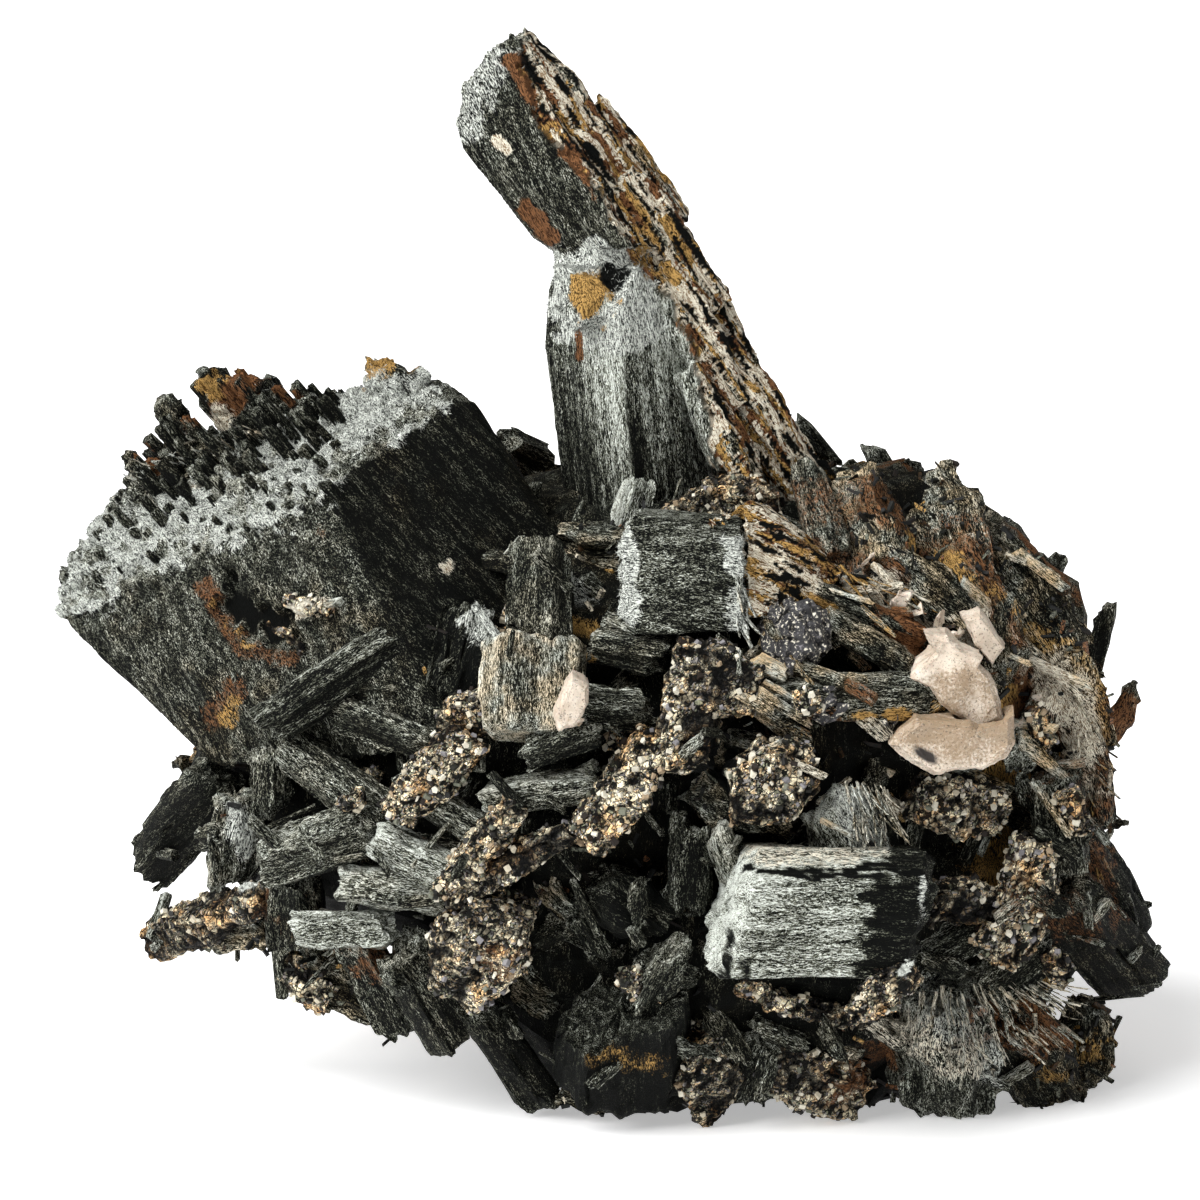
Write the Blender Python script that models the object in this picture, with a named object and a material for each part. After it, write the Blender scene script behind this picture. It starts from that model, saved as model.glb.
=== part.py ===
"""A cluster of amphibole crystals grown together, with two large crystals standing out of it.

Sizes are millimetres at the top and metres in the scene, +Z up. The broad side faces -Y.
The cluster rests on the flat underside at z = 0, and the middle of its box is the origin.
"""

import math
from typing import NamedTuple

import bmesh
import bpy
from mathutils import Matrix, Vector, noise

MM = 0.001

# Driving dimensions, in millimetres.
CLUSTER_CENTRE = Vector((6, 4, 38))  # middle of the rounded cluster
CLUSTER_RADII = Vector((58, 40, 40))  # half width, half depth, half height of the cluster
SOCKET_GAP = 0.3  # between a crystal of its own and the cluster round it
REST_HEIGHT = 0.0  # the underside is flat here
ORIGIN_SHIFT = Vector((-2.2, 1.1, 0))  # brings the middle of the box over the origin
FELDSPAR_THICKNESS = 5.0
FELDSPAR_BEVEL = 0.8  # depth of the bevel round a feldspar plate's front
FELDSPAR_FRONT_SIZE = 0.86  # of the outline, inside the bevel
FELDSPAR_ROOT_DEPTH = 2.5  # how far the narrowing root reaches behind a plate
FELDSPAR_ROOT_SIZE = 0.7  # of the outline, at the end of the root
LONGEST_CORNER_SHIFT = 2.5  # times the gap: how far a sharp corner moves when a socket is swollen

# Crystals with no row of their own: where they lie on the cluster, and their sizes in millimetres.
SPREAD_COUNT = 150  # places all round the cluster, of which some take a crystal
GOLDEN_ANGLE = math.pi * (3 - math.sqrt(5))
SPREAD_KINDS = ("prism", "rough", "prism", "crust", "prism", "pale", "rough")
SPREAD_DEPTH, FRONT_SPREAD_DEPTH = 0.88, 0.84  # parts of the way from the middle to the surface
FRONT_SIDE = 0.1  # directions with less y than this face the front
POLE_HEIGHT = 0.85  # steeper directions, at the top and the bottom, take no crystal
OVERHANG_BELOW, OVERHANG_LEFT = -0.45, -0.4  # nor does the hollow under the block crystal
SPREAD_LENGTH, SPREAD_LENGTH_VARIES = 19, 6
SPREAD_WIDTH, SPREAD_WIDTH_VARIES = 10, 2.5
SPREAD_THICKNESS = 0.7  # of the width
FRONT_SPREAD_LENGTH, FRONT_SPREAD_WIDTH = 0.65, 0.7  # of the sizes above
SPREAD_SPIN = 2.1  # radians that each crystal turns on from the one before
SPREAD_SLOPE = 0.3  # how far their directions lean off the surface's own plane
SPREAD_LIFT = 0.5  # how far the ends of some stand out
SPREAD_STEPS = (1.9, 1.3, 2.7)  # how lift, length and width change from one to the next
SPREAD_ROLL = 47  # degrees that the broad face rolls on from one to the next

# Uneven surfaces.
NOISE_SEED = 7  # keeps the uneven surfaces the same on every run
WANDER_FINENESS = 0.23  # waves in a millimetre
WANDER_STRIDES = Vector((7.31, 3.17, 1.73))  # moves the waves on from one crystal to the next
ROCK_WANDER = 3.0  # millimetres
ROCK_WANDER_SEED = 3
ROCK_COARSENESS = 0.4  # of the crystals' fineness
LEAST_SIDE = 0.2  # a crystal that points to the front nearer than this takes its side from +Z
FLAT_ANGLE = math.radians(1)  # faces that meet flatter than this are one face

# First seeds of the crystals that stand on the block, on the tall crystal, and by themselves.
TUFT_SEED, FLANK_SEED, OWN_SEED = 100, 120, 140

# The slab that trims the underside flat: half its width and its depth, in millimetres.
TRIM_REACH, TRIM_DEPTH = 90, 60


class Crystal(NamedTuple):
    """A crystal between two ends, in millimetres, with the turn of its broad face in degrees."""

    name: str
    kind: str
    start: tuple
    end: tuple
    width: float
    thickness: float
    roll: float


# Outlines across a crystal, as parts of its width and thickness.
SECTIONS = {
    "prism": [(-0.5, -0.08), (-0.28, -0.5), (0.3, -0.5), (0.5, 0.08), (0.28, 0.5), (-0.3, 0.5)],
    "pale": [(-0.5, -0.2), (-0.36, -0.5), (0.36, -0.5), (0.5, 0.1), (0.38, 0.5), (-0.4, 0.5)],
    "rod": [(-0.5, -0.1), (-0.3, -0.5), (0.3, -0.5), (0.5, 0.1), (0.25, 0.5), (-0.35, 0.45)],
    "crust": [(-0.5, 0.1), (-0.38, -0.45), (0.34, -0.5), (0.5, -0.1), (0.38, 0.48), (-0.36, 0.42)],
    "rough": [(-0.5, -0.3), (-0.1, -0.5), (0.4, -0.42), (0.5, 0.2), (0.15, 0.5), (-0.4, 0.42)],
    "lump": [
        (-0.5, 0), (-0.35, -0.35), (0, -0.5), (0.35, -0.35),
        (0.5, 0), (0.35, 0.35), (0, 0.5), (-0.35, 0.35),
    ],
}

# How wide a crystal is along its length: part of the way from start to end, part of the width.
PROFILES = {
    "prism": [(0, 0.92), (0.92, 1), (1, 0.8)],
    "pale": [(0, 0.84), (0.07, 1), (0.93, 1), (1, 0.82)],
    "crust": [(0, 0.74), (0.5, 1.06), (1, 0.74)],
    "rough": [(0, 0.82), (0.4, 1.05), (1, 0.8)],
    "rod": [(0, 0.95), (1, 0.9)],
    "lump": [(0, 0.45), (0.25, 0.88), (0.55, 1), (0.8, 0.85), (1, 0.45)],
}

# How far a kind's surface wanders from the plain form, in millimetres.
WANDER = {"rod": 0, "prism": 0, "pale": 0, "crust": 0.7, "rough": 0.8, "lump": 0.4}

# How steeply a kind is broken off at its ends, and how that changes from one crystal to the next.
SLANT = {"rod": 0.4, "prism": 0.35, "pale": 0.25, "crust": 0.1, "rough": 0.3, "lump": 0}
SLANT_STEPS = (3.7, 5.1)

CLUSTER_CRYSTALS = [
    Crystal("left_striped_prism", "prism", (-36.5, -23, 45), (-23, -32, 37), 6.5, 5, -20),
    Crystal("left_broad_prism", "prism", (-39, -24, 31), (-25, -31.5, 37.5), 8.5, 6, 15),
    Crystal("left_pale_rod", "pale", (-25.5, -34, 36), (-14.5, -36, 31), 5.5, 4.5, 10),
    Crystal("left_pale_rod_low", "pale", (-30, -29.5, 30), (-17, -34, 29.5), 5, 4, -10),
    Crystal("left_upright_prism", "prism", (-35.5, -23.5, 29.5), (-35.5, -21.5, 20), 7.5, 6, 20),
    Crystal("left_small_rod", "pale", (-35, -25, 23), (-24, -29.5, 24.5), 5.5, 4.5, 0),
    Crystal("left_dark_wedge", "prism", (-54, 0, 25.5), (-44, -13, 38.5), 9, 5.5, 20),
    Crystal("left_crusted_toe", "crust", (-53.5, -1.5, 16), (-38, -22, 26.5), 6, 5.5, 0),
    Crystal("left_under_toe", "rough", (-49, -3.5, 18), (-38, -18.5, 20.5), 4, 4.5, 0),
    Crystal("left_upright_block", "prism", (-38, -21.5, 43.5), (-38, -22, 36), 6, 5.5, 20),
    Crystal("left_fibre_mass", "rough", (-42.5, -15.5, 37.5), (-43.5, -14, 26), 7.5, 6.5, 0),
    Crystal("left_knob", "prism", (-47, -12, 31), (-43, -18.5, 33), 3.5, 4, 0),
    Crystal("left_low_crust", "crust", (-37, -18, 17.5), (-30.5, -19.5, 13.5), 5.5, 6, 0),
    Crystal("left_low_prism", "prism", (-28.5, -27, 23.5), (-22.5, -22, 10.5), 7.5, 6.5, 20),
    Crystal("left_low_wedge", "rough", (-35, -18.5, 19), (-23.5, -18.5, 10.5), 7.5, 7.5, 0),
    Crystal("left_low_slab", "prism", (-22.5, -30.5, 22.5), (-16.5, -24, 10.5), 8.5, 6.5, -20),
    Crystal("lower_leaning_prism", "prism", (-14.5, -29, 15.5), (-6.5, -21.5, 1.5), 6, 5, 20),
    Crystal("left_mid_wedge", "prism", (-30, -25, 49), (-18.5, -32.5, 46), 6, 5, 25),
    Crystal("left_mid_crumb", "crust", (-18.5, -32.5, 49), (-8.5, -34.5, 51.5), 5, 5, 0),
    Crystal("left_mid_prism", "prism", (-20, -33.5, 41), (-11, -36, 36), 5, 4.5, 0),
    Crystal("left_crusted_rod", "crust", (-23, -35, 38.5), (-14.5, -35.5, 48.5), 6.5, 6, 0),
    Crystal("left_inner_prism", "prism", (-34.5, -20, 50.5), (-20.5, -27, 51.5), 8, 6.5, 20),
    Crystal("left_shadow_lump", "rough", (-15, -22.5, 60), (-17.5, -28, 50.5), 8.5, 7.5, 0),
    Crystal("centre_dark_prism", "prism", (-6.5, -22, 67), (-6.5, -31.5, 57.5), 9, 7, 30),
    Crystal("centre_flat_plate", "pale", (-7.5, -32, 58.5), (-7.5, -38, 48.5), 12.5, 6, -15),
    Crystal("centre_right_prism", "prism", (-2.5, -36, 52), (6, -36, 51), 5, 5, 20),
    Crystal("centre_green_slab", "prism", (-8.5, -38.5, 46.5), (0, -38.5, 49.5), 5, 4, 30),
    Crystal("centre_grey_slab", "pale", (-13, -36, 41), (-0.5, -38, 43), 4.5, 4, 10),
    Crystal("centre_back_prism", "prism", (-1, -30, 58), (7.5, -32.5, 57), 6.5, 6, 30),
    Crystal("crusted_vee_upper", "crust", (-17.5, -36.5, 30), (-9, -39, 41.5), 4, 4.5, 0),
    Crystal("crusted_vee_lower", "crust", (-17, -36.5, 29.5), (-3, -40, 38), 4, 4, 0),
    Crystal("lower_rod", "prism", (4.5, -33.5, 15.5), (9, -37.5, 24.5), 5.5, 5, 25),
    Crystal("lower_thin_rod", "prism", (-5, -28, 24.5), (4, -26, 19.5), 3.5, 3.5, 0),
    Crystal("centre_hollow_lump", "rough", (-1, -34.5, 30.5), (7.5, -34, 25.5), 8.5, 7.5, 0),
    Crystal("low_broad_block", "prism", (2.5, -34, 16), (3, -24.5, 4.5), 18, 10, -8),
    Crystal("low_block_heel", "rough", (-4.5, -23.5, 4), (4.5, -24.5, 3.5), 5.5, 6, 0),
    Crystal("low_nub", "crust", (12, -31, 13), (13, -24.5, 2), 7, 7, 0),
    Crystal("low_right_prism", "prism", (19, -28, 12), (17.5, -22, 3.5), 8.5, 7, 15),
    Crystal("upright_dark_prism", "prism", (10, -35.5, 38.5), (9.5, -34, 27.5), 6, 5, -15),
    Crystal("upright_pale_rod", "pale", (13, -37, 38), (16, -36, 30.5), 3.5, 3.5, 0),
    Crystal("centre_back_slab", "rough", (11.5, -34, 44), (22.5, -33, 40), 12, 7.5, 0),
    Crystal("crusted_boss", "crust", (8, -36, 56.5), (18, -36.5, 53.5), 8.5, 7.5, 0),
    Crystal("crusted_drop", "crust", (10, -36.5, 55.5), (9.5, -40, 45), 7.5, 6.5, 0),
    Crystal("crusted_ridge", "crust", (6.5, -19.5, 69), (17, -13.5, 72.5), 5, 5, 0),
    Crystal("dark_smooth_lump", "lump", (18.5, -33, 60), (25.5, -32.5, 58), 10, 7.5, 0),
    Crystal("dark_round_stud", "lump", (25, -35, 53.5), (25, -36.5, 50), 6, 5, 0),
    Crystal("dark_small_stud", "lump", (32, -34, 50), (32.5, -34.5, 48.5), 4, 3.5, 0),
    Crystal("radiating_slab_upper", "prism", (22.5, -28.5, 63.5), (37.5, -26.5, 56.5), 5.5, 4.5, 15),
    Crystal("radiating_slab_mid", "prism", (24.5, -30, 60.5), (35.5, -29.5, 54), 4.5, 4, -20),
    Crystal("level_slab", "prism", (18.5, -36.5, 52.5), (38, -31, 52), 6, 5.5, 10),
    Crystal("rhomb_crust", "crust", (14.5, -40, 42), (24, -37.5, 45), 9, 7.5, 0),
    Crystal("furred_neck", "rough", (25.5, -36, 41), (31, -34.5, 31), 8.5, 7, 0),
    Crystal("pale_left_bump", "pale", (14.5, -36.5, 28), (21.5, -35.5, 28), 5, 5, 0),
    Crystal("crust_sill", "crust", (15, -28, 17.5), (30, -22.5, 12.5), 5, 5.5, 0),
    Crystal("brown_wedge", "crust", (19, -28, 9.5), (30, -22.5, 3), 8, 7.5, 0),
    Crystal("low_furred_mass", "rough", (39, -27.5, 17), (41, -19.5, 1), 13.5, 10.5, 0),
    Crystal("low_right_slab", "rough", (45.5, -23, 14.5), (55, -12.5, -0.5), 10.5, 8.5, 0),
    Crystal("right_toe", "rough", (57, -12.5, 11.5), (57, -9, -1), 7, 7, 0),
    Crystal("right_crusted_rod", "crust", (50, -26.5, 34.5), (48, -25, 20), 6.5, 6, 0),
    Crystal("right_low_prism", "prism", (44, -26, 16), (51.5, -23, 21.5), 7, 6, 20),
    Crystal("right_broad_prism", "prism", (51.5, -22.5, 28.5), (63.5, -3.5, 12.5), 11, 8.5, 20),
    Crystal("right_brown_stub", "rough", (55, -17, 43.5), (57.5, -15, 33.5), 7.5, 7, 0),
    Crystal("right_grey_prism", "prism", (51.5, -18.5, 50), (48, -24, 42), 5, 4.5, 30),
    Crystal("right_upper_rough", "rough", (45.5, -9.5, 64), (54.5, -14.5, 52), 10, 9, 20),
    Crystal("right_mid_rough", "rough", (52, -16, 54.5), (57.5, -15.5, 42.5), 9, 8.5, 0),
    Crystal("right_side_prism", "prism", (54.5, -20, 35), (63, -4, 18), 7.5, 7, 15),
    Crystal("right_inner_prism", "prism", (52, -23.5, 41.5), (53.5, -22, 28.5), 7, 6, -25),
    Crystal("right_inner_crust", "crust", (35, -27, 39.5), (46, -22.5, 36.5), 7.5, 6.5, 0),
    Crystal("right_deep_crust", "crust", (37, -29, 28), (46.5, -25.5, 26), 5, 5, 0),
    Crystal("right_deep_prism", "prism", (37, -28, 20.5), (46, -25, 24.5), 6, 5.5, 0),
    Crystal("top_brown_block", "rough", (29, -7, 71.5), (32.5, -22.5, 63), 11, 9, 0),
    Crystal("top_brown_block_right", "rough", (38.5, -0.5, 70.5), (42.5, -18.5, 60.5), 11, 9, 0),
    Crystal("top_crumble", "rough", (32, -21.5, 64.5), (41, -24.5, 57), 12, 7.5, 0),
    Crystal("right_shoulder", "rough", (40, -15, 65), (47, -23.5, 52), 9.5, 7.5, 0),
    Crystal("top_dark_wedge", "prism", (24.5, -7.5, 74), (27, -22, 66), 5.5, 5.5, 20),
    Crystal("under_tall_crumb", "crust", (11.5, -15.5, 71), (20.5, -14.5, 70.5), 7.5, 6.5, 0),
    Crystal("behind_gap_block", "rough", (-4.5, -16, 66.5), (3, -18.5, 66), 7.5, 6, 0),
]

# Rock that the crystals grew from: centre, radii, fineness.
GROUNDMASS = [
    ((7, 3, 40), (49, 37, 33), 2),
    ((18, 3, 22), (42, 35, 29), 1),
    ((29, 3, 46), (30, 30, 27), 1),
    ((-20, 3, 38), (28, 25, 21), 1),
]

# Corners of the large crystals.
BLOCK_CORNERS = [
    (-64, -3, 61), (-63.5, -7, 56.5), (-35, -23, 72), (-31, -24, 74.5),
    (-17, -13, 83), (-14.5, -9, 82.5), (-19, 0, 84), (-36, 6, 80.5), (-55, 6, 72), (-61, 4, 64),
    (-49, -5, 76), (-25, -6, 83.8), (-20, -6, 84),
    (-46.5, -8, 40), (-45, -14, 40), (-21, -31, 45), (-17, -31, 47.5),
    (-3.5, -14, 65.5), (-1, -8, 60), (-8, 8, 52), (-36, 10, 46),
]
LOWER_TALL_CORNERS = [
    (-6, -2, 95.5), (-6.5, -2, 88), (-3, -3, 61), (-4, -3, 97.5), (2, -12, 93),
    (5, -13, 61), (4.5, -10, 98.5), (11, -4, 92.5), (14.5, -6, 61), (10.5, 5, 94),
    (16, 8, 61), (0, 7, 97), (1.5, 11, 61),
]
UPPER_TALL_CORNERS = [
    (-17, -3, 114.5), (-16.2, -3, 111.5), (-16, -3, 118.5), (-13.5, -4, 123), (-10, -5.5, 125),
    (-6.5, -2, 120.5), (-7, 5, 117.5), (-13, 4, 118.5), (-8, -3.5, 100.8), (-5.5, -3, 99),
    (3.5, -11, 100.5), (9, -3, 99.5), (8, 5, 99.5), (0, 6, 101),
]
SQUARED_CORNERS = [
    (2, -31, 70), (2, -34, 61.5), (4.5, -36, 59.5), (4, -29, 72.5), (5, -22, 72), (4, -22, 60),
    (16, -28, 71.5), (16, -33, 68.5), (16, -35, 60), (17, -22, 59), (17, -19, 70.5),
]
RUSTY_CORNERS = [
    (12, -30, 71.5), (12, -34, 62), (16.5, -26, 73.5), (15, -25, 60), (24, -28, 69),
    (28, -26, 65.5), (25, -30, 62), (18, -34, 61.5), (24, -20, 62), (20, -20, 71),
]

# Broken-off rods on the top of the block crystal, and the flank of the tall one.
BLOCK_TUFTS = [
    Crystal("tuft_1", "rod", (-53, -6, 69), (-55.5, -2, 75.5), 2.5, 2, 0),
    Crystal("tuft_2", "rod", (-47, -6, 71), (-51, -2, 81.5), 4.2, 3.2, 0),
    Crystal("tuft_3", "rod", (-41.5, -6, 75), (-45.5, -3, 85.2), 4.2, 3.2, 0),
    Crystal("tuft_4", "rod", (-38.5, -8, 75), (-42, -5, 84.8), 3.4, 3, 20),
    Crystal("tuft_5", "rod", (-35.5, -8, 76), (-39.5, -3, 84), 3, 2.6, 0),
    Crystal("tuft_6", "rod", (-34.5, -12, 73), (-37.5, -10.5, 78.8), 3.2, 2.6, 10),
    Crystal("tuft_7", "rod", (-31, -8, 75), (-35, -4, 81.8), 3.6, 3, 0),
    Crystal("tuft_8", "rod", (-44, -9, 69), (-48, -6.5, 77.5), 4.4, 3, 0),
    Crystal("tuft_9", "rod", (-39, -11, 69), (-41.5, -9.5, 76.5), 3, 2.4, -15),
    Crystal("tuft_10", "rod", (-35.5, -14, 69), (-38, -13, 75.5), 3, 2.4, 10),
    Crystal("tuft_11", "rod", (-50.5, -7, 67), (-53, -4.5, 74), 2.8, 2.2, 0),
    Crystal("block_cone", "lump", (-22.5, -7, 80.5), (-25, -5, 85.3), 8.5, 7, 0),
    Crystal("block_nub", "rough", (-24.5, -6.5, 83), (-25.5, -5, 87), 4.2, 3.6, 0),
]
TALL_FLANK = [
    Crystal("flank_1", "rough", (-10.2, -2, 124.2), (3.5, -2, 104.5), 6, 6.5, 0),
    Crystal("flank_2", "rough", (-1.5, 0, 115.5), (9, 0, 101.5), 5.6, 6, 0),
    Crystal("flank_3", "rough", (2, -3.5, 107.5), (14, -3, 92.5), 6.6, 7, 0),
    Crystal("flank_4", "rough", (10, 1, 97), (17.5, 0, 84.5), 5, 7, 0),
    Crystal("flank_5", "rough", (6.5, -5, 98), (16, -7, 81), 5.4, 6, 0),
    Crystal("flank_6", "rough", (13, -3, 88.5), (24.5, -5, 70.5), 6.6, 8, 0),
    Crystal("flank_7", "rough", (17.5, 0, 83), (26, -1, 70.5), 4.6, 7, 0),
    Crystal("flank_8", "crust", (10.3, -8.2, 86.4), (20, -12, 68), 5.4, 6, 10),
    Crystal("tall_neck", "rough", (0, -2, 91), (1.5, -2, 104), 13, 12, 0),
    Crystal("tall_nub", "rough", (-1, -9, 91.5), (-1.6, -8, 97.3), 5.4, 4.6, 0),
]
OWN_CRYSTALS = [
    Crystal("pale_crystal", "pale", (13.5, -40.5, 29), (36, -38, 28.5), 16, 15, 0),
    Crystal("leaning_blade", "prism", (-38.5, -27, 47), (-22, -27, 58), 6.8, 3.8, 25),
    Crystal("crusted_rod", "crust", (-1.5, -39.5, 36), (6.5, -38.5, 49), 6, 6, 0),
    Crystal("crusted_block", "crust", (-17, -31.5, 18), (-10.5, -37, 29.5), 11.5, 9, 0),
]

# Outlines of the feldspar plates as seen from the front, and the depth of each front face.
FELDSPAR = {
    "feldspar_upper_plate": (-35.0, [
        (36.5, 59.5), (39, 59.5), (40.5, 58), (43, 57), (42.5, 56), (44, 54.5), (45, 51.5),
        (45.5, 49.5), (43, 48), (41, 49.5), (38.5, 51.5), (37, 53.5), (35, 54.5), (35.5, 56),
        (37.5, 57.5),
    ]),
    "feldspar_lower_plate": (-38.0, [
        (32.5, 47.5), (33.5, 49), (35.5, 50.5), (41.5, 50), (42.5, 49.5), (45, 50), (46.5, 51),
        (46.5, 47.5), (45.5, 46), (43, 44.5), (39.5, 44.5), (37.5, 44), (34.5, 45.5),
    ]),
    "feldspar_block": (-30.0, [(41, 60.5), (43, 61), (46, 57), (44.5, 55), (42, 58.5)]),
    "feldspar_chip": (-44.5, [
        (-3, 56.5), (-1.5, 55.5), (-1.5, 53.5), (-3, 51), (-4.5, 50.5), (-5, 52), (-4, 54.5),
    ]),
}

COLOURS = {
    "crystal_mass": (0.035, 0.038, 0.035),
    "block_crystal": (0.045, 0.05, 0.045),
    "tall_crystal": (0.09, 0.1, 0.1),
    "squared_crystal": (0.06, 0.075, 0.065),
    "rusty_slab": (0.35, 0.22, 0.1),
    "pale_crystal": (0.2, 0.24, 0.23),
    "leaning_blade": (0.07, 0.08, 0.075),
    "crusted_rod": (0.25, 0.2, 0.17),
    "crusted_block": (0.2, 0.17, 0.14),
    "feldspar": (0.65, 0.54, 0.43),
}


def clear_scene():
    for thing in list(bpy.data.objects):
        bpy.data.objects.remove(thing, do_unlink=True)


def material(name):
    """A plain finish, shared by the pieces of one mineral."""
    key = "feldspar" if name.startswith("feldspar") else name
    if key in bpy.data.materials:
        return bpy.data.materials[key]
    made = bpy.data.materials.new(key)
    made.use_nodes = True
    shader = made.node_tree.nodes["Principled BSDF"]
    shader.inputs["Base Color"].default_value = (*COLOURS[key], 1)
    shader.inputs["Roughness"].default_value = 0.55
    shader.inputs["Metallic"].default_value = 0
    return made


def new_object(name, points, faces, helper=True):
    """An object from points in millimetres. A helper is a cutter or a form to be joined."""
    mesh = bpy.data.meshes.new(name)
    mesh.from_pydata([Vector(point) * MM for point in points], [], faces)
    form = bmesh.new()
    form.from_mesh(mesh)
    bmesh.ops.recalc_face_normals(form, faces=form.faces)
    form.to_mesh(mesh)
    form.free()
    made = bpy.data.objects.new(name, mesh)
    bpy.context.scene.collection.objects.link(made)
    made.hide_render = helper
    made.display_type = "WIRE" if helper else "TEXTURED"
    return made


def crystal_axes(row):
    """Start, and the directions along, across and out of the broad face."""
    start, end = Vector(row.start), Vector(row.end)
    along = (end - start).normalized()
    across = along.cross(Vector((0, -1, 0)))
    points_forward = across.length < LEAST_SIDE
    if points_forward:
        across = along.cross(Vector((0, 0, 1)))
    across = Matrix.Rotation(math.radians(row.roll), 3, along) @ across.normalized()
    return start, end, along, across, along.cross(across)


def wander(point, seed, reach):
    """Smooth uneven shift of a point of a broken surface."""
    return noise.noise_vector(point * WANDER_FINENESS + WANDER_STRIDES * seed) * reach


def crystal_form(row, seed):
    """Points and faces of a crystal: rings along its axis, closed at both ends."""
    start, end, along, across, out = crystal_axes(row)
    outline = SECTIONS[row.kind]
    first_turn, last_turn = (seed * step for step in SLANT_STEPS)
    slants = (SLANT[row.kind] * math.cos(first_turn), SLANT[row.kind] * math.sin(last_turn))
    points = []
    for part, size in PROFILES[row.kind]:
        slant = slants[0] if part < 0.5 else slants[1]
        for u, v in outline:
            place = start.lerp(end, part) + along * u * row.width * slant * size
            place += across * u * row.width * size + out * v * row.thickness * size
            points.append(place + wander(place, seed, WANDER[row.kind]))
    return points, ring_faces(len(PROFILES[row.kind]), len(outline))


def ring_faces(rings, count):
    faces = [list(range(count)), list(range((rings - 1) * count, rings * count))]
    for ring in range(rings - 1):
        for step in range(count):
            near, far = ring * count + step, ring * count + (step + 1) % count
            faces.append([near, far, far + count, near + count])
    return faces


def crystal(row, seed):
    return new_object(row.name, *crystal_form(row, seed))


def hull(name, corners):
    """The flat-faced solid round a set of corners."""
    made = new_object(name, corners, [])
    form = bmesh.new()
    form.from_mesh(made.data)
    found = bmesh.ops.convex_hull(form, input=form.verts)
    inside = [item for item in found["geom_interior"] if isinstance(item, bmesh.types.BMVert)]
    bmesh.ops.delete(form, geom=inside, context="VERTS")
    bmesh.ops.dissolve_limit(form, angle_limit=FLAT_ANGLE, verts=form.verts, edges=form.edges)
    bmesh.ops.recalc_face_normals(form, faces=form.faces)
    form.to_mesh(made.data)
    form.free()
    return made


def plate(name, front, outline):
    """A feldspar plate: its outline in four levels, with a bevelled front and a narrowing root."""
    middle = sum((Vector((x, 0, z)) for x, z in outline), Vector()) / len(outline)
    levels = [
        (0, FELDSPAR_FRONT_SIZE), (FELDSPAR_BEVEL, 1), (FELDSPAR_THICKNESS, 1),
        (FELDSPAR_THICKNESS + FELDSPAR_ROOT_DEPTH, FELDSPAR_ROOT_SIZE),
    ]
    points = []
    for depth, size in levels:
        for x, z in outline:
            place = middle.lerp(Vector((x, 0, z)), size)
            points.append((place.x, front + depth, place.z))
    return new_object(name, points, ring_faces(len(levels), len(outline)))


def groundmass(name, centre, radii, fineness):
    """An uneven lump of rock."""
    form = bmesh.new()
    bmesh.ops.create_icosphere(form, subdivisions=fineness, radius=1)
    for point in form.verts:
        place = Vector(centre) + Vector(a * b for a, b in zip(point.co, radii))
        point.co = place + wander(place * ROCK_COARSENESS, ROCK_WANDER_SEED, ROCK_WANDER)
    points = [point.co.copy() for point in form.verts]
    faces = [[point.index for point in face.verts] for face in form.faces]
    form.free()
    return new_object(name, points, faces)


def spread_direction(index):
    """The way from the middle of the cluster to a place on it, spread evenly by the golden angle."""
    height = 1 - 2 * (index + 0.5) / SPREAD_COUNT
    turn = index * GOLDEN_ANGLE
    level = math.sqrt(1 - height * height)
    return Vector((math.cos(turn) * level, math.sin(turn) * level, height))


def spread_crystals():
    """Rows for the back, the sides and the underside, and for the gaps between the named crystals."""
    rows = []
    for index in range(SPREAD_COUNT):
        out = spread_direction(index)
        in_front = out.y < FRONT_SIDE
        overhang = out.z < OVERHANG_BELOW and out.x < OVERHANG_LEFT
        if abs(out.z) > POLE_HEIGHT or overhang or index % (6 if in_front else 2):
            continue
        depth = FRONT_SPREAD_DEPTH if in_front else SPREAD_DEPTH
        middle = CLUSTER_CENTRE + Vector(a * b for a, b in zip(out, CLUSTER_RADII)) * depth
        spin = index * SPREAD_SPIN
        side = out.cross(Vector((math.sin(spin), SPREAD_SLOPE, math.cos(spin)))).normalized()
        lift_wave, length_wave, width_wave = (math.sin(index * step) for step in SPREAD_STEPS)
        lift = SPREAD_LIFT * lift_wave * (1 - abs(out.x))
        along = (side + out * lift).normalized()
        length = SPREAD_LENGTH + SPREAD_LENGTH_VARIES * length_wave
        width = SPREAD_WIDTH + SPREAD_WIDTH_VARIES * width_wave
        kind = SPREAD_KINDS[len(rows) % len(SPREAD_KINDS)]
        if in_front:
            kind = "rod"
            length *= FRONT_SPREAD_LENGTH
            width *= FRONT_SPREAD_WIDTH
        start = middle - along * length / 2
        end = middle + along * length / 2
        thickness = width * SPREAD_THICKNESS
        roll = index * SPREAD_ROLL % 90
        rows.append(Crystal(f"spread_{index}", kind, start, end, width, thickness, roll))
    return rows


def evaluated_mesh(thing):
    return bpy.data.meshes.new_from_object(thing.evaluated_get(bpy.context.evaluated_depsgraph_get()))


def combine(thing, others, operation):
    """Joins others to a thing, or cuts them from it, and keeps the result as its mesh."""
    group = bpy.data.collections.new("operands")
    for other in others:
        group.objects.link(other)
    step = thing.modifiers.new("combine", "BOOLEAN")
    step.operation = operation
    step.solver = "EXACT"
    step.operand_type = "COLLECTION"
    step.collection = group
    bpy.context.view_layer.update()
    made = evaluated_mesh(thing)
    thing.modifiers.remove(step)
    thing.data = made
    bpy.data.collections.remove(group)
    return thing


def drop(things):
    for thing in things:
        bpy.data.objects.remove(thing, do_unlink=True)


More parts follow.
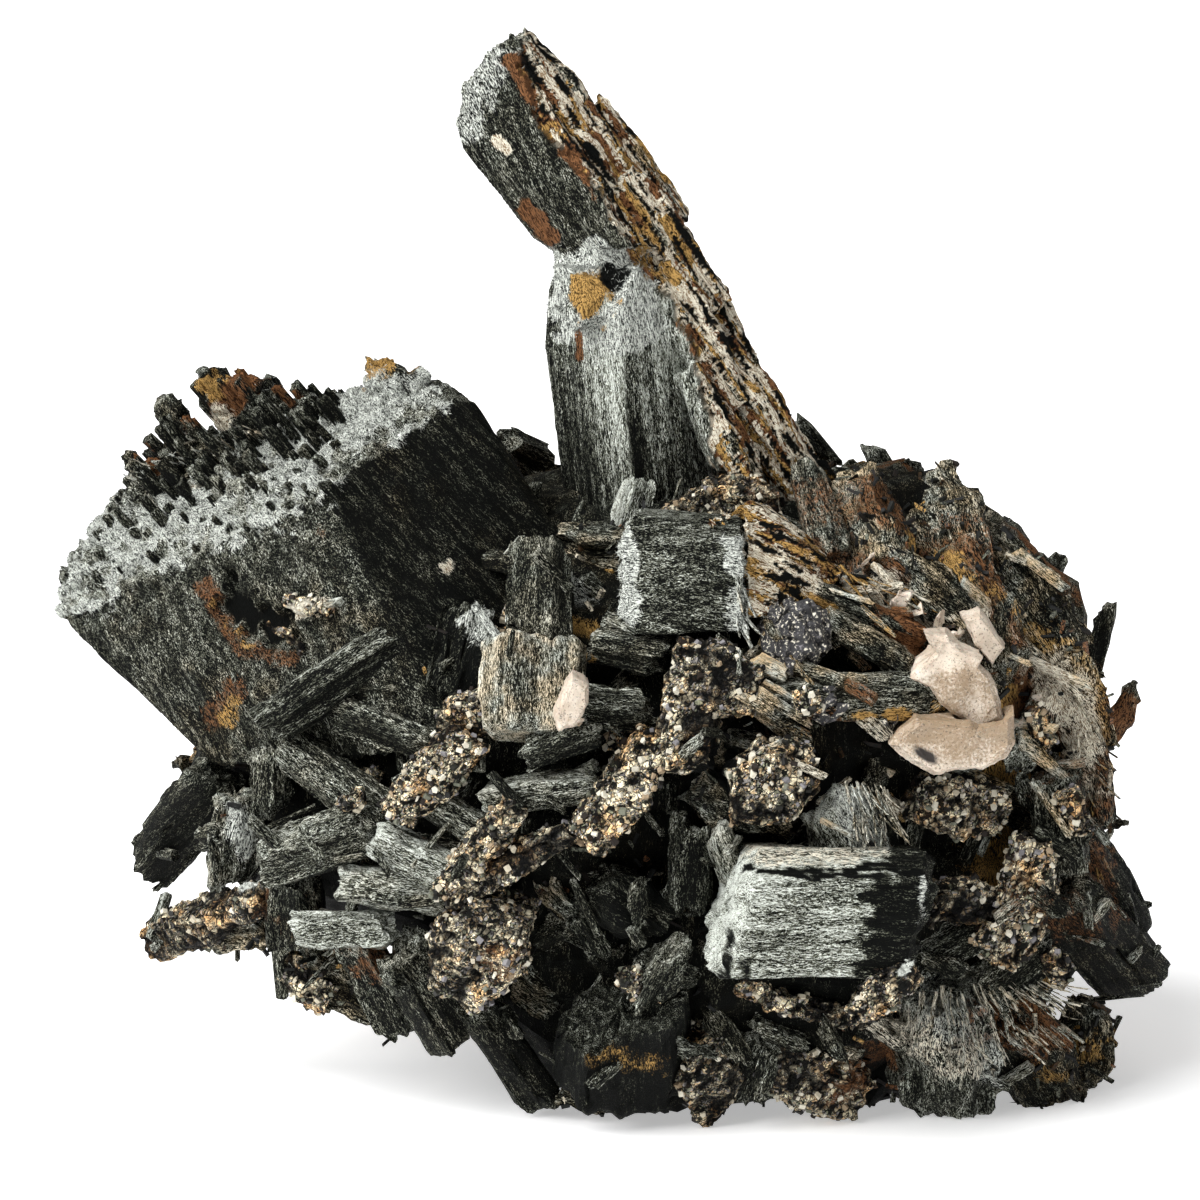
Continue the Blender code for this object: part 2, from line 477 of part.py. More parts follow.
def swollen(thing, gap=SOCKET_GAP):
    """A copy of a form with every face moved outwards by the gap, to cut its socket."""
    made = thing.copy()
    made.data = thing.data.copy()
    made.name = thing.name + "_socket"
    bpy.context.scene.collection.objects.link(made)
    form = bmesh.new()
    form.from_mesh(made.data)
    form.normal_update()
    moves = []
    for point in form.verts:
        reach = min(point.calc_shell_factor(), LONGEST_CORNER_SHIFT)
        moves.append(point.normal * gap * MM * reach)
    for point, move in zip(form.verts, moves):
        point.co += move
    form.to_mesh(made.data)
    form.free()
    return made


def islands(form):
    """Groups of faces that hang together."""
    left = set(form.faces)
    groups = []
    while left:
        stack = [left.pop()]
        group = []
        while stack:
            face = stack.pop()
            group.append(face)
            for edge in face.edges:
                for near in edge.link_faces:
                    if near in left:
                        left.discard(near)
                        stack.append(near)
        groups.append(group)
    return groups


def keep_largest(thing):
    """Deletes the chips that a cut leaves loose."""
    form = bmesh.new()
    form.from_mesh(thing.data)
    groups = sorted(islands(form), key=len)
    for group in groups[:-1]:
        bmesh.ops.delete(form, geom=group, context="FACES")
    loose = [point for point in form.verts if not point.link_faces]
    bmesh.ops.delete(form, geom=loose, context="VERTS")
    form.to_mesh(thing.data)
    form.free()


def finish(thing, name):
    """Names a finished piece and moves it into the part's frame."""
    thing.name = name
    thing.data.name = name
    thing.hide_render = False
    thing.display_type = "TEXTURED"
    thing.data.transform(Matrix.Translation(ORIGIN_SHIFT * MM))
    thing.data.materials.clear()
    thing.data.materials.append(material(name))
    for face in thing.data.polygons:
        face.use_smooth = False


def below_rest():
    """A slab that trims the underside flat."""
    corners = [(-TRIM_REACH, -TRIM_REACH), (TRIM_REACH, -TRIM_REACH)]
    corners += [(TRIM_REACH, TRIM_REACH), (-TRIM_REACH, TRIM_REACH)]
    levels = (REST_HEIGHT - TRIM_DEPTH, REST_HEIGHT)
    points = [(x, y, z) for z in levels for x, y in corners]
    return new_object("trim", points, ring_faces(len(levels), len(corners)))


def own_pieces():
    """The forms of each crystal that is a piece of its own, in the order they are cut."""
    block = [hull("block_form", BLOCK_CORNERS)]
    block += [crystal(row, TUFT_SEED + step) for step, row in enumerate(BLOCK_TUFTS)]
    tall = [hull("tall_lower", LOWER_TALL_CORNERS), hull("tall_upper", UPPER_TALL_CORNERS)]
    tall += [crystal(row, FLANK_SEED + step) for step, row in enumerate(TALL_FLANK)]
    pieces = {
        "block_crystal": block,
        "tall_crystal": tall,
        "squared_crystal": [hull("squared_form", SQUARED_CORNERS)],
        "rusty_slab": [hull("rusty_form", RUSTY_CORNERS)],
    }
    for step, row in enumerate(OWN_CRYSTALS):
        pieces[row.name] = [crystal(row._replace(name=row.name + "_form"), OWN_SEED + step)]
    for name, (front, outline) in FELDSPAR.items():
        pieces[name] = [plate(name + "_form", front, outline)]
    return pieces


def main():
    clear_scene()
    noise.seed_set(NOISE_SEED)
    pieces = own_pieces()
    sockets = []
    trim = below_rest()
    for name, forms in pieces.items():
        own_sockets = [swollen(form) for form in forms]
        whole = forms[0]
        if forms[1:]:
            combine(whole, forms[1:], "UNION")
        if sockets:
            combine(whole, sockets, "DIFFERENCE")
        keep_largest(whole)
        drop(forms[1:])
        sockets += own_sockets
        finish(whole, name)
    rows = CLUSTER_CRYSTALS + spread_crystals()
    forms = [crystal(row, step) for step, row in enumerate(rows)]
    rocks = [groundmass(f"rock_{step}", *rock) for step, rock in enumerate(GROUNDMASS)]
    cluster = rocks[0]
    combine(cluster, rocks[1:] + forms, "UNION")
    combine(cluster, sockets + [trim], "DIFFERENCE")
    keep_largest(cluster)
    drop(rocks[1:] + forms + sockets + [trim])
    finish(cluster, "crystal_mass")


main()
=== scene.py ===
"""The finish of a cluster of amphibole crystals grown together.

Each crystal of the cluster is made again as a finely grooved, splintery form that stands where the
plain solid has it. Crusts, pale fuzz and splinters are scattered over them. Sizes in the tables are
millimetres, and the scene is in metres, +Z up.
"""

import functools
import itertools
import math
from typing import NamedTuple

import bmesh
import bpy
import numpy as np
from mathutils import Matrix, Vector, noise


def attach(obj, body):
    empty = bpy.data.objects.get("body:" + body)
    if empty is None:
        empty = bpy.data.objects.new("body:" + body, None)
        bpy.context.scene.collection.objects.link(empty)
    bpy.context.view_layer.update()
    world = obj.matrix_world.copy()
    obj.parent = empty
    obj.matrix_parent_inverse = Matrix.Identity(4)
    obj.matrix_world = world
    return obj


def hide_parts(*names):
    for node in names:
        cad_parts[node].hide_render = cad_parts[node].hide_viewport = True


bl_info = {
    "name": "Amphibole crystal cluster",
    "version": (1, 0, 0),
    "blender": (4, 5, 0),
    "location": "3D View > Sidebar > Amphibole",
    "description": "Finishes the crystals, crusts, fuzz and feldspar of an amphibole cluster",
    "category": "Object",
}

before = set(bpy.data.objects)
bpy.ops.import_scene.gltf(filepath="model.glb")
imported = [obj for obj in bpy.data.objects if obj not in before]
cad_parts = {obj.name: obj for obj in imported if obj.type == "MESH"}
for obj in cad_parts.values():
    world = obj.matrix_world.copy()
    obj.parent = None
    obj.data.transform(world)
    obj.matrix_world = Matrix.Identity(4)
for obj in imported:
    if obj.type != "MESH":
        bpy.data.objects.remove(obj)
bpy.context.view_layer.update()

MM = 0.001
ORIGIN_SHIFT = np.array((-2.2, 1.1, 0.0))  # brings the middle of the box over the origin
CLUSTER_CENTRE = Vector((6, 4, 38))
CLUSTER_RADII = Vector((58, 40, 40))
SPREAD_COUNT = 150  # places for the crystals that no row of the table sets
NOISE_SEED = 7
SKY_SIDE = np.array((-0.45, -0.2, 0.87))  # where most of the light on the pale hairs comes from
REST_HEIGHT = 0.0  # millimetres, of the surface that the cluster stands on
SHARP_FOLD, SHARPER_FOLD = 42, 30  # degrees, over which a fold isn't smoothed


# ---------------------------------------------------------------- sizes and colours to change


def length_property(label, description, millimetres):
    return bpy.props.FloatProperty(
        name=label, description=description, default=millimetres * MM, min=0, unit="LENGTH"
    )


def colour_property(label, description, colour):
    return bpy.props.FloatVectorProperty(
        name=label, description=description, default=colour, size=3, min=0, max=1, subtype="COLOR"
    )


class ClusterSizes(bpy.types.PropertyGroup):
    """Sizes of the surface detail."""

    block_fineness: length_property("Block fineness", "Size of the block crystal's mesh cells", 0.45)
    tall_fineness: length_property("Tall fineness", "Size of the tall crystal's mesh cells", 0.41)
    slab_fineness: length_property("Slab fineness", "Mesh cells of the smaller slabs", 0.3)
    grain_size: length_property("Crust grain", "Middle width of a grain of crust", 0.5)
    fibre_length: length_property("Fuzz fibre", "Middle length of a fibre of fuzz", 0.9)
    splinter_length: length_property("Splinter", "Middle length of a loose splinter", 2.6)
    shard_count: bpy.props.IntProperty(
        name="Shards", description="Thin crystals that lie over the cluster", default=420, min=0,
    )
    fill_count: bpy.props.IntProperty(
        name="Small crystals", description="Places for small crystals between the large ones",
        default=300, min=0,
    )


class ClusterColours(bpy.types.PropertyGroup):
    """Colours of the stone."""

    dark: colour_property("Dark", "Amphibole in the depth of a groove", (0.0035, 0.004, 0.0035))
    slate: colour_property("Slate", "Plain dark amphibole", (0.011, 0.012, 0.009))
    # The pale hairs are partly the real silky fibres and partly painted sheen, standing in for glints of
    # light on the dark faces.
    pale: colour_property("Pale", "Silky hairs of the amphibole", (0.8, 0.84, 0.77))
    dull: colour_property("Dull", "Hairs of the darkest crystals", (0.18, 0.188, 0.14))
    brown: colour_property("Brown", "Tint of weathered amphibole", (1.1, 0.78, 0.5))
    deep_brown: colour_property("Deep brown", "Hollows of weathered amphibole", (0.014, 0.009, 0.006))
    rust: colour_property("Rust", "Strong iron stain", (0.23, 0.105, 0.045))
    deep_rust: colour_property("Deep rust", "Old iron stain", (0.02, 0.009, 0.005))
    ochre: colour_property("Ochre", "Yellow iron stain", (0.56, 0.34, 0.11))
    deep_ochre: colour_property("Deep ochre", "Shaded yellow stain", (0.06, 0.03, 0.009))
    fuzz: colour_property("Fuzz", "Pale fibres on the broken ends", (0.82, 0.85, 0.78))
    deep_fuzz: colour_property("Deep fuzz", "Fuzz in shade", (0.03, 0.034, 0.03))
    cream: colour_property("Cream", "Cream spots", (0.7, 0.63, 0.48))
    tan: colour_property("Tan", "Tan grains of the crust", (0.4, 0.3, 0.19))
    lilac: colour_property("Lilac", "Lilac-grey grains of the crust", (0.25, 0.24, 0.25))
    white: colour_property("White", "White grains of the crust", (0.82, 0.77, 0.63))
    feldspar: colour_property("Feldspar", "Cream-pink feldspar", (0.52, 0.43, 0.34))
    stained_feldspar: colour_property("Stained feldspar", "Brown feldspar", (0.24, 0.16, 0.085))


# ---------------------------------------------------------------- uneven surfaces


def hashed(cells, seed):
    """A repeatable number from 0 to 1 for each whole-number cell."""
    cells = cells.astype(np.int64).astype(np.uint32)
    mixed = cells[..., 0] * np.uint32(374761393) + cells[..., 1] * np.uint32(668265263)
    mixed = mixed + cells[..., 2] * np.uint32(2246822519) + np.uint32(seed * 3266489917 % 2**32)
    mixed = (mixed ^ (mixed >> np.uint32(15))) * np.uint32(2246822519)
    mixed = (mixed ^ (mixed >> np.uint32(13))) * np.uint32(3266489917)
    return ((mixed ^ (mixed >> np.uint32(16))) & np.uint32(0xFFFFFF)) / 0xFFFFFF


def soft_noise(places, seed):
    """Smooth noise from -1 to 1 that changes from one whole number to the next."""
    base = np.floor(places)
    part = places - base
    part = part * part * (3 - 2 * part)
    total = 0
    for corner in itertools.product((0, 1), repeat=3):
        weight = np.where(corner, part, 1 - part).prod(axis=-1)
        total = total + weight * hashed(base + corner, seed)
    return total * 2 - 1


def layered(places, seed, count=3):
    """Noise in layers, each twice as fine and half as strong as the one before."""
    return sum(soft_noise(places * 2**step, seed + step) * 0.5**step for step in range(count))


def cobbles(places, seed):
    """Rounded lumps packed side by side: 1 in the middle of a lump, 0 between lumps."""
    base = np.floor(places)
    nearest = np.full(places.shape[:-1], 9.0)
    for step in itertools.product((-1, 0, 1), repeat=3):
        cell = base + step
        seat = np.stack([hashed(cell, seed + axis) for axis in range(3)], axis=-1)
        nearest = np.minimum(nearest, ((cell + seat - places) ** 2).sum(axis=-1))
    return np.clip(1 - nearest / 0.75, 0, 1)


def ramp(value, low, high):
    """0 below low, 1 above high, and smooth between."""
    part = np.clip((value - low) / (high - low), 0, 1)
    return part * part * (3 - 2 * part)


# ---------------------------------------------------------------- forms


class Form(NamedTuple):
    """Points in millimetres, four-sided and three-sided faces, and marks: a value for each point."""

    points: np.ndarray
    quads: np.ndarray
    tris: np.ndarray
    marks: dict


def joined(forms):
    firsts = np.cumsum([0] + [len(form.points) for form in forms[:-1]])
    return Form(
        np.concatenate([form.points for form in forms]),
        np.concatenate([form.quads + first for form, first in zip(forms, firsts)]),
        np.concatenate([form.tris + first for form, first in zip(forms, firsts)]),
        {key: np.concatenate([form.marks[key] for form in forms]) for key in forms[0].marks},
    )


def vectors(items, field):
    """A field of three numbers of each item, as rows."""
    values = np.empty(len(items) * 3, np.float32)
    items.foreach_get(field, values)
    return values.reshape(-1, 3)


def linked(name, data):
    """A new object of the scene."""
    made = bpy.data.objects.new(name, data)
    bpy.context.scene.collection.objects.link(made)
    return made


def object_from(name, form, finish, sharp_degrees=SHARP_FOLD):
    """An object of a form, its faces smooth but for folds sharper than the angle."""
    mesh = bpy.data.meshes.new(name)
    points = form.points.copy()
    points[:, 2] = np.maximum(points[:, 2], REST_HEIGHT)
    mesh.vertices.add(len(points))
    mesh.vertices.foreach_set("co", (points * MM).astype(np.float32).ravel())
    loops = np.concatenate([form.quads.ravel(), form.tris.ravel()]).astype(np.int32)
    starts = np.concatenate([
        np.arange(len(form.quads)) * 4, len(form.quads) * 4 + np.arange(len(form.tris)) * 3,
    ]).astype(np.int32)
    mesh.loops.add(len(loops))
    mesh.loops.foreach_set("vertex_index", loops)
    mesh.polygons.add(len(starts))
    mesh.polygons.foreach_set("loop_start", starts)
    mesh.update(calc_edges=True)
    mesh.validate()
    # How much each point faces the light, kept as the sky mark: the amphibole paints such faces paler as
    # painted sheen.
    sky = np.clip(vectors(mesh.vertex_normals, "vector") @ SKY_SIDE, 0, 1)
    for mark, values in {**form.marks, "sky": sky}.items():
        kind, field = ("FLOAT_VECTOR", "vector") if values.ndim == 2 else ("FLOAT", "value")
        layer = mesh.attributes.new(mark, kind, "POINT")
        layer.data.foreach_set(field, values.astype(np.float32).ravel())
    mesh.shade_smooth()
    mesh.set_sharp_from_angle(angle=math.radians(sharp_degrees))
    mesh.materials.append(finish)
    return linked(name, mesh)


def settle(piece, slot, *nodes):
    """Rides a finished piece on the cluster and hides the solids that it stands for. Its slot is not used."""
    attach(piece, "root")
    if nodes:
        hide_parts(*nodes)
    print(f"{piece.name}: {sum(len(face.vertices) - 2 for face in piece.data.polygons)} triangles")


# ---------------------------------------------------------------- stains


# Stains by kind, each round the line between two places: its ends, radius and strength. The dark kind just
# darkens the stone where it lies, and the same dark mark also carries painted shade.
PATCHES = {
    "rust": [
        ((-51, -5, 81), (-50, -5, 80), 1.8, 0.8), ((-56, -3, 75.5), (-54.5, -4, 74.5), 1.6, 0.9),
        ((-39.5, -6, 84), (-38, -6, 83), 1.6, 0.8), ((-9.8, -3.5, 104), (-8.2, -4, 101.2), 1.9, 1),
        ((-4.9, -5.5, 90.5), (-4.7, -5.5, 87.5), 0.7, 0.8),
        ((-12.6, -4.6, 121.5), (-4.2, -7.8, 109), 1.3, 0.95), ((-4.2, -7.8, 109), (2, -6, 99.4), 1.0, 0.8),
        ((7, -8, 92), (17, -9, 76), 1.4, 0.65), ((18, -28, 71), (22, -30, 66), 3.2, 0.6),
        ((22, -26, 66), (30, -24, 65), 3.0, 0.55), ((31, -26, 61), (34, -27, 57), 2.6, 0.85),
        ((24, -24, 6), (31, -22, 9), 4.0, 0.55), ((55, -18, 47), (56.5, -16, 36), 3.6, 0.45),
        ((30, -14, 71), (42, -18, 64), 5.0, 0.5), ((-16, -35, 26), (-12, -37, 22), 3.0, 0.45),
        ((-20, 38, 45), (5, 42, 55), 7.0, 0.5), ((60, 5, 45), (58, 14, 38), 6.0, 0.6),
        ((-47.5, -16, 61.5), (-44, -18, 57), 1.7, 0.5), ((-44, -18.5, 55.5), (-38, -22, 54.5), 1.3, 0.45),
        ((-47.5, -14.5, 46), (-44, -17, 50), 2.2, 0.45), ((-34, -22, 71), (-32, -23, 66), 1.2, 0.4),
        ((-46, -5, 82), (-42, -5, 87), 2.6, 0.75), ((24, -22, 66), (38, -20, 60), 4.0, 0.45),
        ((42, -20, 58), (52, -18, 46), 4.0, 0.6), ((18, -14, 76), (32, -12, 74), 4.0, 0.45),
        ((22, -36, 50), (36, -34, 44), 3.0, 0.45), ((44, -28, 30), (54, -20, 22), 4.0, 0.36),
        ((40, -26, 12), (54, -18, 10), 4.0, 0.55), ((-24, -30, 34), (-12, -34, 40), 2.8, 0.4),
        ((-40, -20, 26), (-28, -26, 20), 3.0, 0.45), ((50, -20, 40), (57, -15, 24), 4.0, 0.45),
        ((20, -16, 73), (42, -14, 69), 6.0, 0.38),
    ],
    "ochre": [
        ((-28, -4, 85), (-25, -4, 87.5), 2.6, 1.1), ((2, -6, 101), (6, -6, 96), 1.6, 0.6),
        ((-4, -9.2, 96.4), (-3.3, -9.6, 94.6), 3.0, 1.25), ((-5, -27, 59.5), (-2, -27, 57.5), 2.2, 0.95),
        ((-3.5, -31.5, 56), (-2.8, -31.5, 54.5), 1.0, 0.8), ((17, -30, 71), (19.5, -30, 68), 2.2, 0.8),
        ((19, -29, 63.5), (26, -27, 61), 1.6, 0.8), ((26, -36, 50.5), (33, -34, 50), 1.0, 0.9),
        ((-2, -36, 11), (5, -34, 8.5), 2.2, 0.42), ((50, -17, 5), (57, -10, 6), 2.6, 0.5),
        ((30, 38, 30), (36, 36, 24), 4.0, 0.6), ((-46.5, -16.5, 60), (-43, -19, 56), 1.0, 0.5),
        ((-46, -15.5, 46), (-44.5, -17, 48.5), 1.4, 0.5), ((-48, -5, 84), (-46, -5, 89), 2.2, 0.85),
        ((34, -18, 66), (46, -18, 58), 3.0, 0.65), ((15.5, -29, 72.5), (19.5, -29, 70.5), 2.0, 0.95),
        ((24, -27, 67), (27, -27, 64), 1.8, 0.8), ((48, -18, 60), (56, -14, 40), 4.0, 0.5),
    ],
    "cream": [
        ((-19.6, -21.2, 65.1), (-19.8, -21.2, 65), 1.3, 1),
        ((-18.8, -26.5, 58), (-19.3, -26.7, 57.5), 1.0, 0.9), ((-49, -8, 71.5), (-46, -9, 71), 1.5, 0.8),
        ((-47, -5, 80), (-46, -5, 79), 1.8, 0.7), ((-13.7, -4.1, 111.8), (-13.2, -4.1, 111.3), 1.35, 1.1),
        ((15, -29, 68.5), (22, -29, 65), 2.0, 0.7), ((-37, -22.5, 60), (-33.5, -24, 61.5), 1.3, 0.75),
        ((30, -23, 61), (42, -20, 57), 3.4, 0.75), ((48, -20, 54), (54, -18, 44), 3.0, 0.7),
        ((36, -33, 42), (44, -30, 38), 3.0, 0.55), ((30, -30, 14), (40, -27, 8), 3.4, 0.5),
        ((15.4, -38, 37.6), (16.2, -38, 35.8), 1.5, 1), ((50, -18, 56), (56, -15, 38), 3.0, 0.5),
    ],
    "bloom": [
        ((-7, -4, 97.6), (3.5, -8, 98), 3.6, 1), ((-6.5, -6, 92.5), (2.5, -10, 92.5), 4.6, 0.9),
        ((0, -30, 70.5), (0.5, -33, 62), 1.8, 1.1), ((13.4, -31, 71), (13.8, -32, 60), 2.3, 0.95),
        ((-16.5, -26, 60.5), (-14, -26, 59.5), 2.6, 0.9), ((-9.5, -23, 60), (-5, -22, 62), 2.4, 0.5),
        ((36, -28, 14), (43, -26, 9), 4.6, 0.5), ((26, -37, 41), (30, -36, 33), 2.6, 0.7),
        ((-44, -17, 34), (-42, -18, 27), 2.4, 0.7), ((-5, 40, 30), (8, 42, 22), 6.0, 0.5),
        ((-42, 14, 40), (-38, 20, 32), 4.0, 0.6), ((-19, -3, 113), (-15.5, -3, 121), 3.0, 0.5),
        ((-13, -4.5, 122), (-16, -4, 117), 2.2, 0.45), ((33.4, -44.5, 26), (33.8, -44, 35), 0.5, 0.9),
        ((33.4, -44.5, 26), (29, -45.5, 20), 0.5, 0.9), ((-7.5, -5, 92), (-7, -5, 84), 1.6, 0.8),
    ],
    "dark": [
        ((-0.6, -7.5, 97.2), (0.4, -7.5, 95.4), 1.7, 1), ((9.5, -37, 46), (15, -36, 44), 2.8, 1),
        ((33.6, -37, 46.8), (35, -37, 46), 0.7, 1.2),
    ],
}
PATCH_CORE, PATCH_RIM = 0.45, 1.25  # where a patch is full and where it ends, as parts of its radius
DEEP_SHADE = 0.85  # how dark the stone is deep between the crystals
DEEPEST, LEAST_DEEP = 0.74, 0.87  # where that shade is full and where it ends, as parts of the radii


def line_distance(points, start, end):
    """How far each point is from the line between two places."""
    start, end = np.array(start, float), np.array(end, float)
    reach = end - start
    part = np.clip((points - start) @ reach / max(reach @ reach, 1e-9), 0, 1)
    return np.linalg.norm(points - start - part[:, None] * reach, axis=1)


def outwardness(points):
    """How far out each point is: 0 in the middle of the cluster and 1 on its egg-shaped outside."""
    return np.linalg.norm((points - ORIGIN_SHIFT - CLUSTER_CENTRE) / CLUSTER_RADII, axis=1)


def raise_mark(marks, mark, values):
    """Raises a mark to the values, where they are higher."""
    marks[mark] = np.maximum(marks[mark], values)


def stains(points):
    """How strongly each stain marks each point. The dark mark also takes the painted shade deep between the
    crystals.
    """
    marks = {mark: np.zeros(len(points)) for mark in PATCHES}
    ragged = 0.5 * layered(points * 0.55, 21)
    for mark, patches in PATCHES.items():
        for start, end, radius, amount in patches:
            near = line_distance(points, start, end) / radius + ragged
            raise_mark(marks, mark, ramp(-near, -PATCH_RIM, -PATCH_CORE) * amount)
    # Painted shade: the stone is darkened deep between the crystals.
    raise_mark(marks, "dark", DEEP_SHADE * ramp(-outwardness(points), -LEAST_DEEP, -DEEPEST))
    return marks


# ---------------------------------------------------------------- crystals


class Crystal(NamedTuple):
    """A crystal between two ends, in millimetres, with the turn of its broad face in degrees."""

    kind: str
    start: tuple
    end: tuple
    width: float
    thickness: float
    roll: float = 0
    tone: float | None = None  # how pale it is, where it isn't as its kind is
    brown: float | None = None  # how weathered it is, where it isn't as its kind is


class Relief(NamedTuple):
    """How broken a surface is, in millimetres."""

    grooves: float  # fine grooves along it
    waves: float  # broad ridges and steps along it
    chips: float  # broken off its edges
    ragged: float  # unevenness of its broken ends
    lumps: float = 0  # rounded lumps of crust


class Kind(NamedTuple):
    """What the crystals of one kind have in common."""

    spacing: float  # millimetres between points round it
    step: float  # millimetres between rings along it
    relief: Relief
    tone: float  # how pale, from 0 to 1
    brown: float  # how weathered, from 0 to 1
    slant: float  # how steeply its ends are cut
    wander: float  # how far it strays from straight, in millimetres
    section: list  # outline across it, as parts of its width and thickness
    profile: list  # part of the way along it, and its width there as a part of the full one


ROD_SECTION = [(-0.5, -0.1), (-0.3, -0.5), (0.3, -0.5), (0.5, 0.1), (0.25, 0.5), (-0.35, 0.45)]
PALE_SECTION = [(-0.5, -0.2), (-0.36, -0.5), (0.36, -0.5), (0.5, 0.1), (0.38, 0.5), (-0.4, 0.5)]
PALE_PROFILE = [(0, 0.84), (0.07, 1), (0.93, 1), (1, 0.82)]
KINDS = {
    "prism": Kind(
        0.58, 0.9, Relief(0.25, 0.75, 2.8, 2.3), 0.28, 0.08, 0.35, 0,
        [(-0.5, -0.08), (-0.28, -0.5), (0.3, -0.5), (0.5, 0.08), (0.28, 0.5), (-0.3, 0.5)],
        [(0, 0.92), (0.92, 1), (1, 0.8)],
    ),
    "pale": Kind(0.45, 0.75, Relief(0.2, 0.5, 2, 1.5), 0.86, 0, 0.25, 0, PALE_SECTION, PALE_PROFILE),
    "plate": Kind(0.45, 0.6, Relief(0.1, 0.25, 2, 0.25), 0.6, 0.15, 0, 0, PALE_SECTION, PALE_PROFILE),
    "rough": Kind(
        0.54, 0.85, Relief(0.5, 1.25, 2.4, 1.7, 0.35), 0.42, 0.6, 0.3, 0.8,
        [(-0.5, -0.3), (-0.1, -0.5), (0.4, -0.42), (0.5, 0.2), (0.15, 0.5), (-0.4, 0.42)],
        [(0, 0.82), (0.4, 1.05), (1, 0.8)],
    ),
    "rod": Kind(
        0.48, 0.8, Relief(0.25, 0.45, 1.2, 1.8), 0.2, 0.25, 0.4, 0,
        ROD_SECTION, [(0, 0.95), (1, 0.9)],
    ),
    "crust": Kind(
        0.5, 0.5, Relief(0.1, 0.6, 1, 0.8, 0.95), 0.4, 0.5, 0.1, 0.7,
        [(-0.5, 0.1), (-0.38, -0.45), (0.34, -0.5), (0.5, -0.1), (0.38, 0.48), (-0.36, 0.42)],
        [(0, 0.74), (0.5, 1.06), (1, 0.74)],
    ),
    "lump": Kind(
        0.4, 0.4, Relief(0.1, 1.7, 2.6, 0, 1.8), 0.3, 0, 0, 0.4,
        [
            (-0.5, 0), (-0.35, -0.35), (0, -0.5), (0.35, -0.35),
            (0.5, 0), (0.35, 0.35), (0, 0.5), (-0.35, 0.35),
        ],
        [(0, 0.45), (0.25, 0.88), (0.55, 1), (0.8, 0.85), (1, 0.45)],
    ),
    "tuft": Kind(0.4, 1.1, Relief(0.16, 0.1, 0.2, 0.7), 0.05, 0, 0.5, 0, ROD_SECTION, [(0, 1), (1, 0.9)]),
}
CAP_RINGS = (0.84, 0.6, 0.34, 0.1)  # widths of the rings that close an end
TUFT_RINGS = (0.55,)
# Worn edges near a corner are also painted paler, partly as painted highlight.
EDGE_REACH = 0.45  # how far from a corner its edge is worn
END_REACH = 1.5  # how far from an end it is frayed
PATTERN_SHIFT = 11.3  # moves the pattern from one crystal to the next
GROOVE_STRETCH = np.array((1.15, 1.15, 0.09))
WAVE_STRETCH = np.array((0.42, 0.42, 0.06))
CHIP_STRETCH = (0.5, 0.5, 0.3)
WAVE_STEPS = 2.2  # how many steps a wave is cut into, from its middle out
WANDER_FINENESS = 0.23


def axes_along(direction, roll=0.0):
    """Unit directions across, out of the broad face and along, as rows."""
    along = Vector(direction).normalized()
    across = along.cross(Vector((0, -1, 0)))
    if across.length < 0.2:
        across = along.cross(Vector((0, 0, 1)))
    across = Matrix.Rotation(math.radians(roll), 3, along) @ across.normalized()
    return np.array((across, along.cross(across), along))


def wander(points, seed, reach):
    """Smooth uneven shift of each point, the same as that of the plain solid."""
    shift = Vector((seed * 7.31, seed * 3.17, seed * 1.73))
    return np.array([noise.noise_vector(Vector(point) * WANDER_FINENESS + shift) for point in points]) * reach


def rim_of(kind, width, thickness, spacing):
    """Points round a crystal's outline, their distance from the nearest corner, and the way out."""
    corners = np.array(KINDS[kind].section) * (width, thickness)
    rim, gaps = [], []
    for near, far in zip(corners, np.roll(corners, -1, axis=0)):
        side = np.linalg.norm(far - near)
        count = max(2, round(side / spacing))
        parts = (np.arange(count) / count)[:, None]
        rim.append(near + (far - near) * parts)
        gaps.append(np.minimum(parts, 1 - parts)[:, 0] * side)
    rim = np.concatenate(rim)
    ahead = np.roll(rim, -1, axis=0) - np.roll(rim, 1, axis=0)
    outward = np.stack([ahead[:, 1], -ahead[:, 0]], axis=1)
    outward /= np.linalg.norm(outward, axis=1)[:, None]
    outward *= np.sign((outward * rim).sum(axis=1).mean())
    return rim, np.concatenate(gaps), outward


def tube_faces(rings, count):
    """Faces of rings joined one to the next, with a fan round a last point at each end."""
    ring, step = np.meshgrid(np.arange(rings - 1), np.arange(count), indexing="ij")
    near, far = ring * count + step, ring * count + (step + 1) % count
    quads = np.stack([near, far, far + count, near + count], axis=-1).reshape(-1, 4)
    steps = np.arange(count)
    ahead = (steps + 1) % count
    last = (rings - 1) * count
    first_tip = np.full(count, rings * count)
    fans = [np.stack([ahead, steps, first_tip], axis=-1)]
    fans.append(np.stack([last + steps, last + ahead, first_tip + 1], axis=-1))
    return quads, np.concatenate(fans)


def axis_relief(local, relief, seed):
    """How far a surface stands out at places given across, out and along a crystal."""
    grooves = layered(local * GROOVE_STRETCH, seed + 3)
    waves = soft_noise(local * WAVE_STRETCH, seed + 9)
    steps = np.round(waves * WAVE_STEPS) / WAVE_STEPS
    return relief.grooves * grooves + relief.waves * (0.45 * waves + 0.55 * steps - 0.25)


def draws(count, index, row, seed):
    """Repeatable numbers from 0 to 1 for one of many small things."""
    return hashed(np.stack([np.full(count, index), np.arange(count), np.full(count, row)], axis=-1), seed)


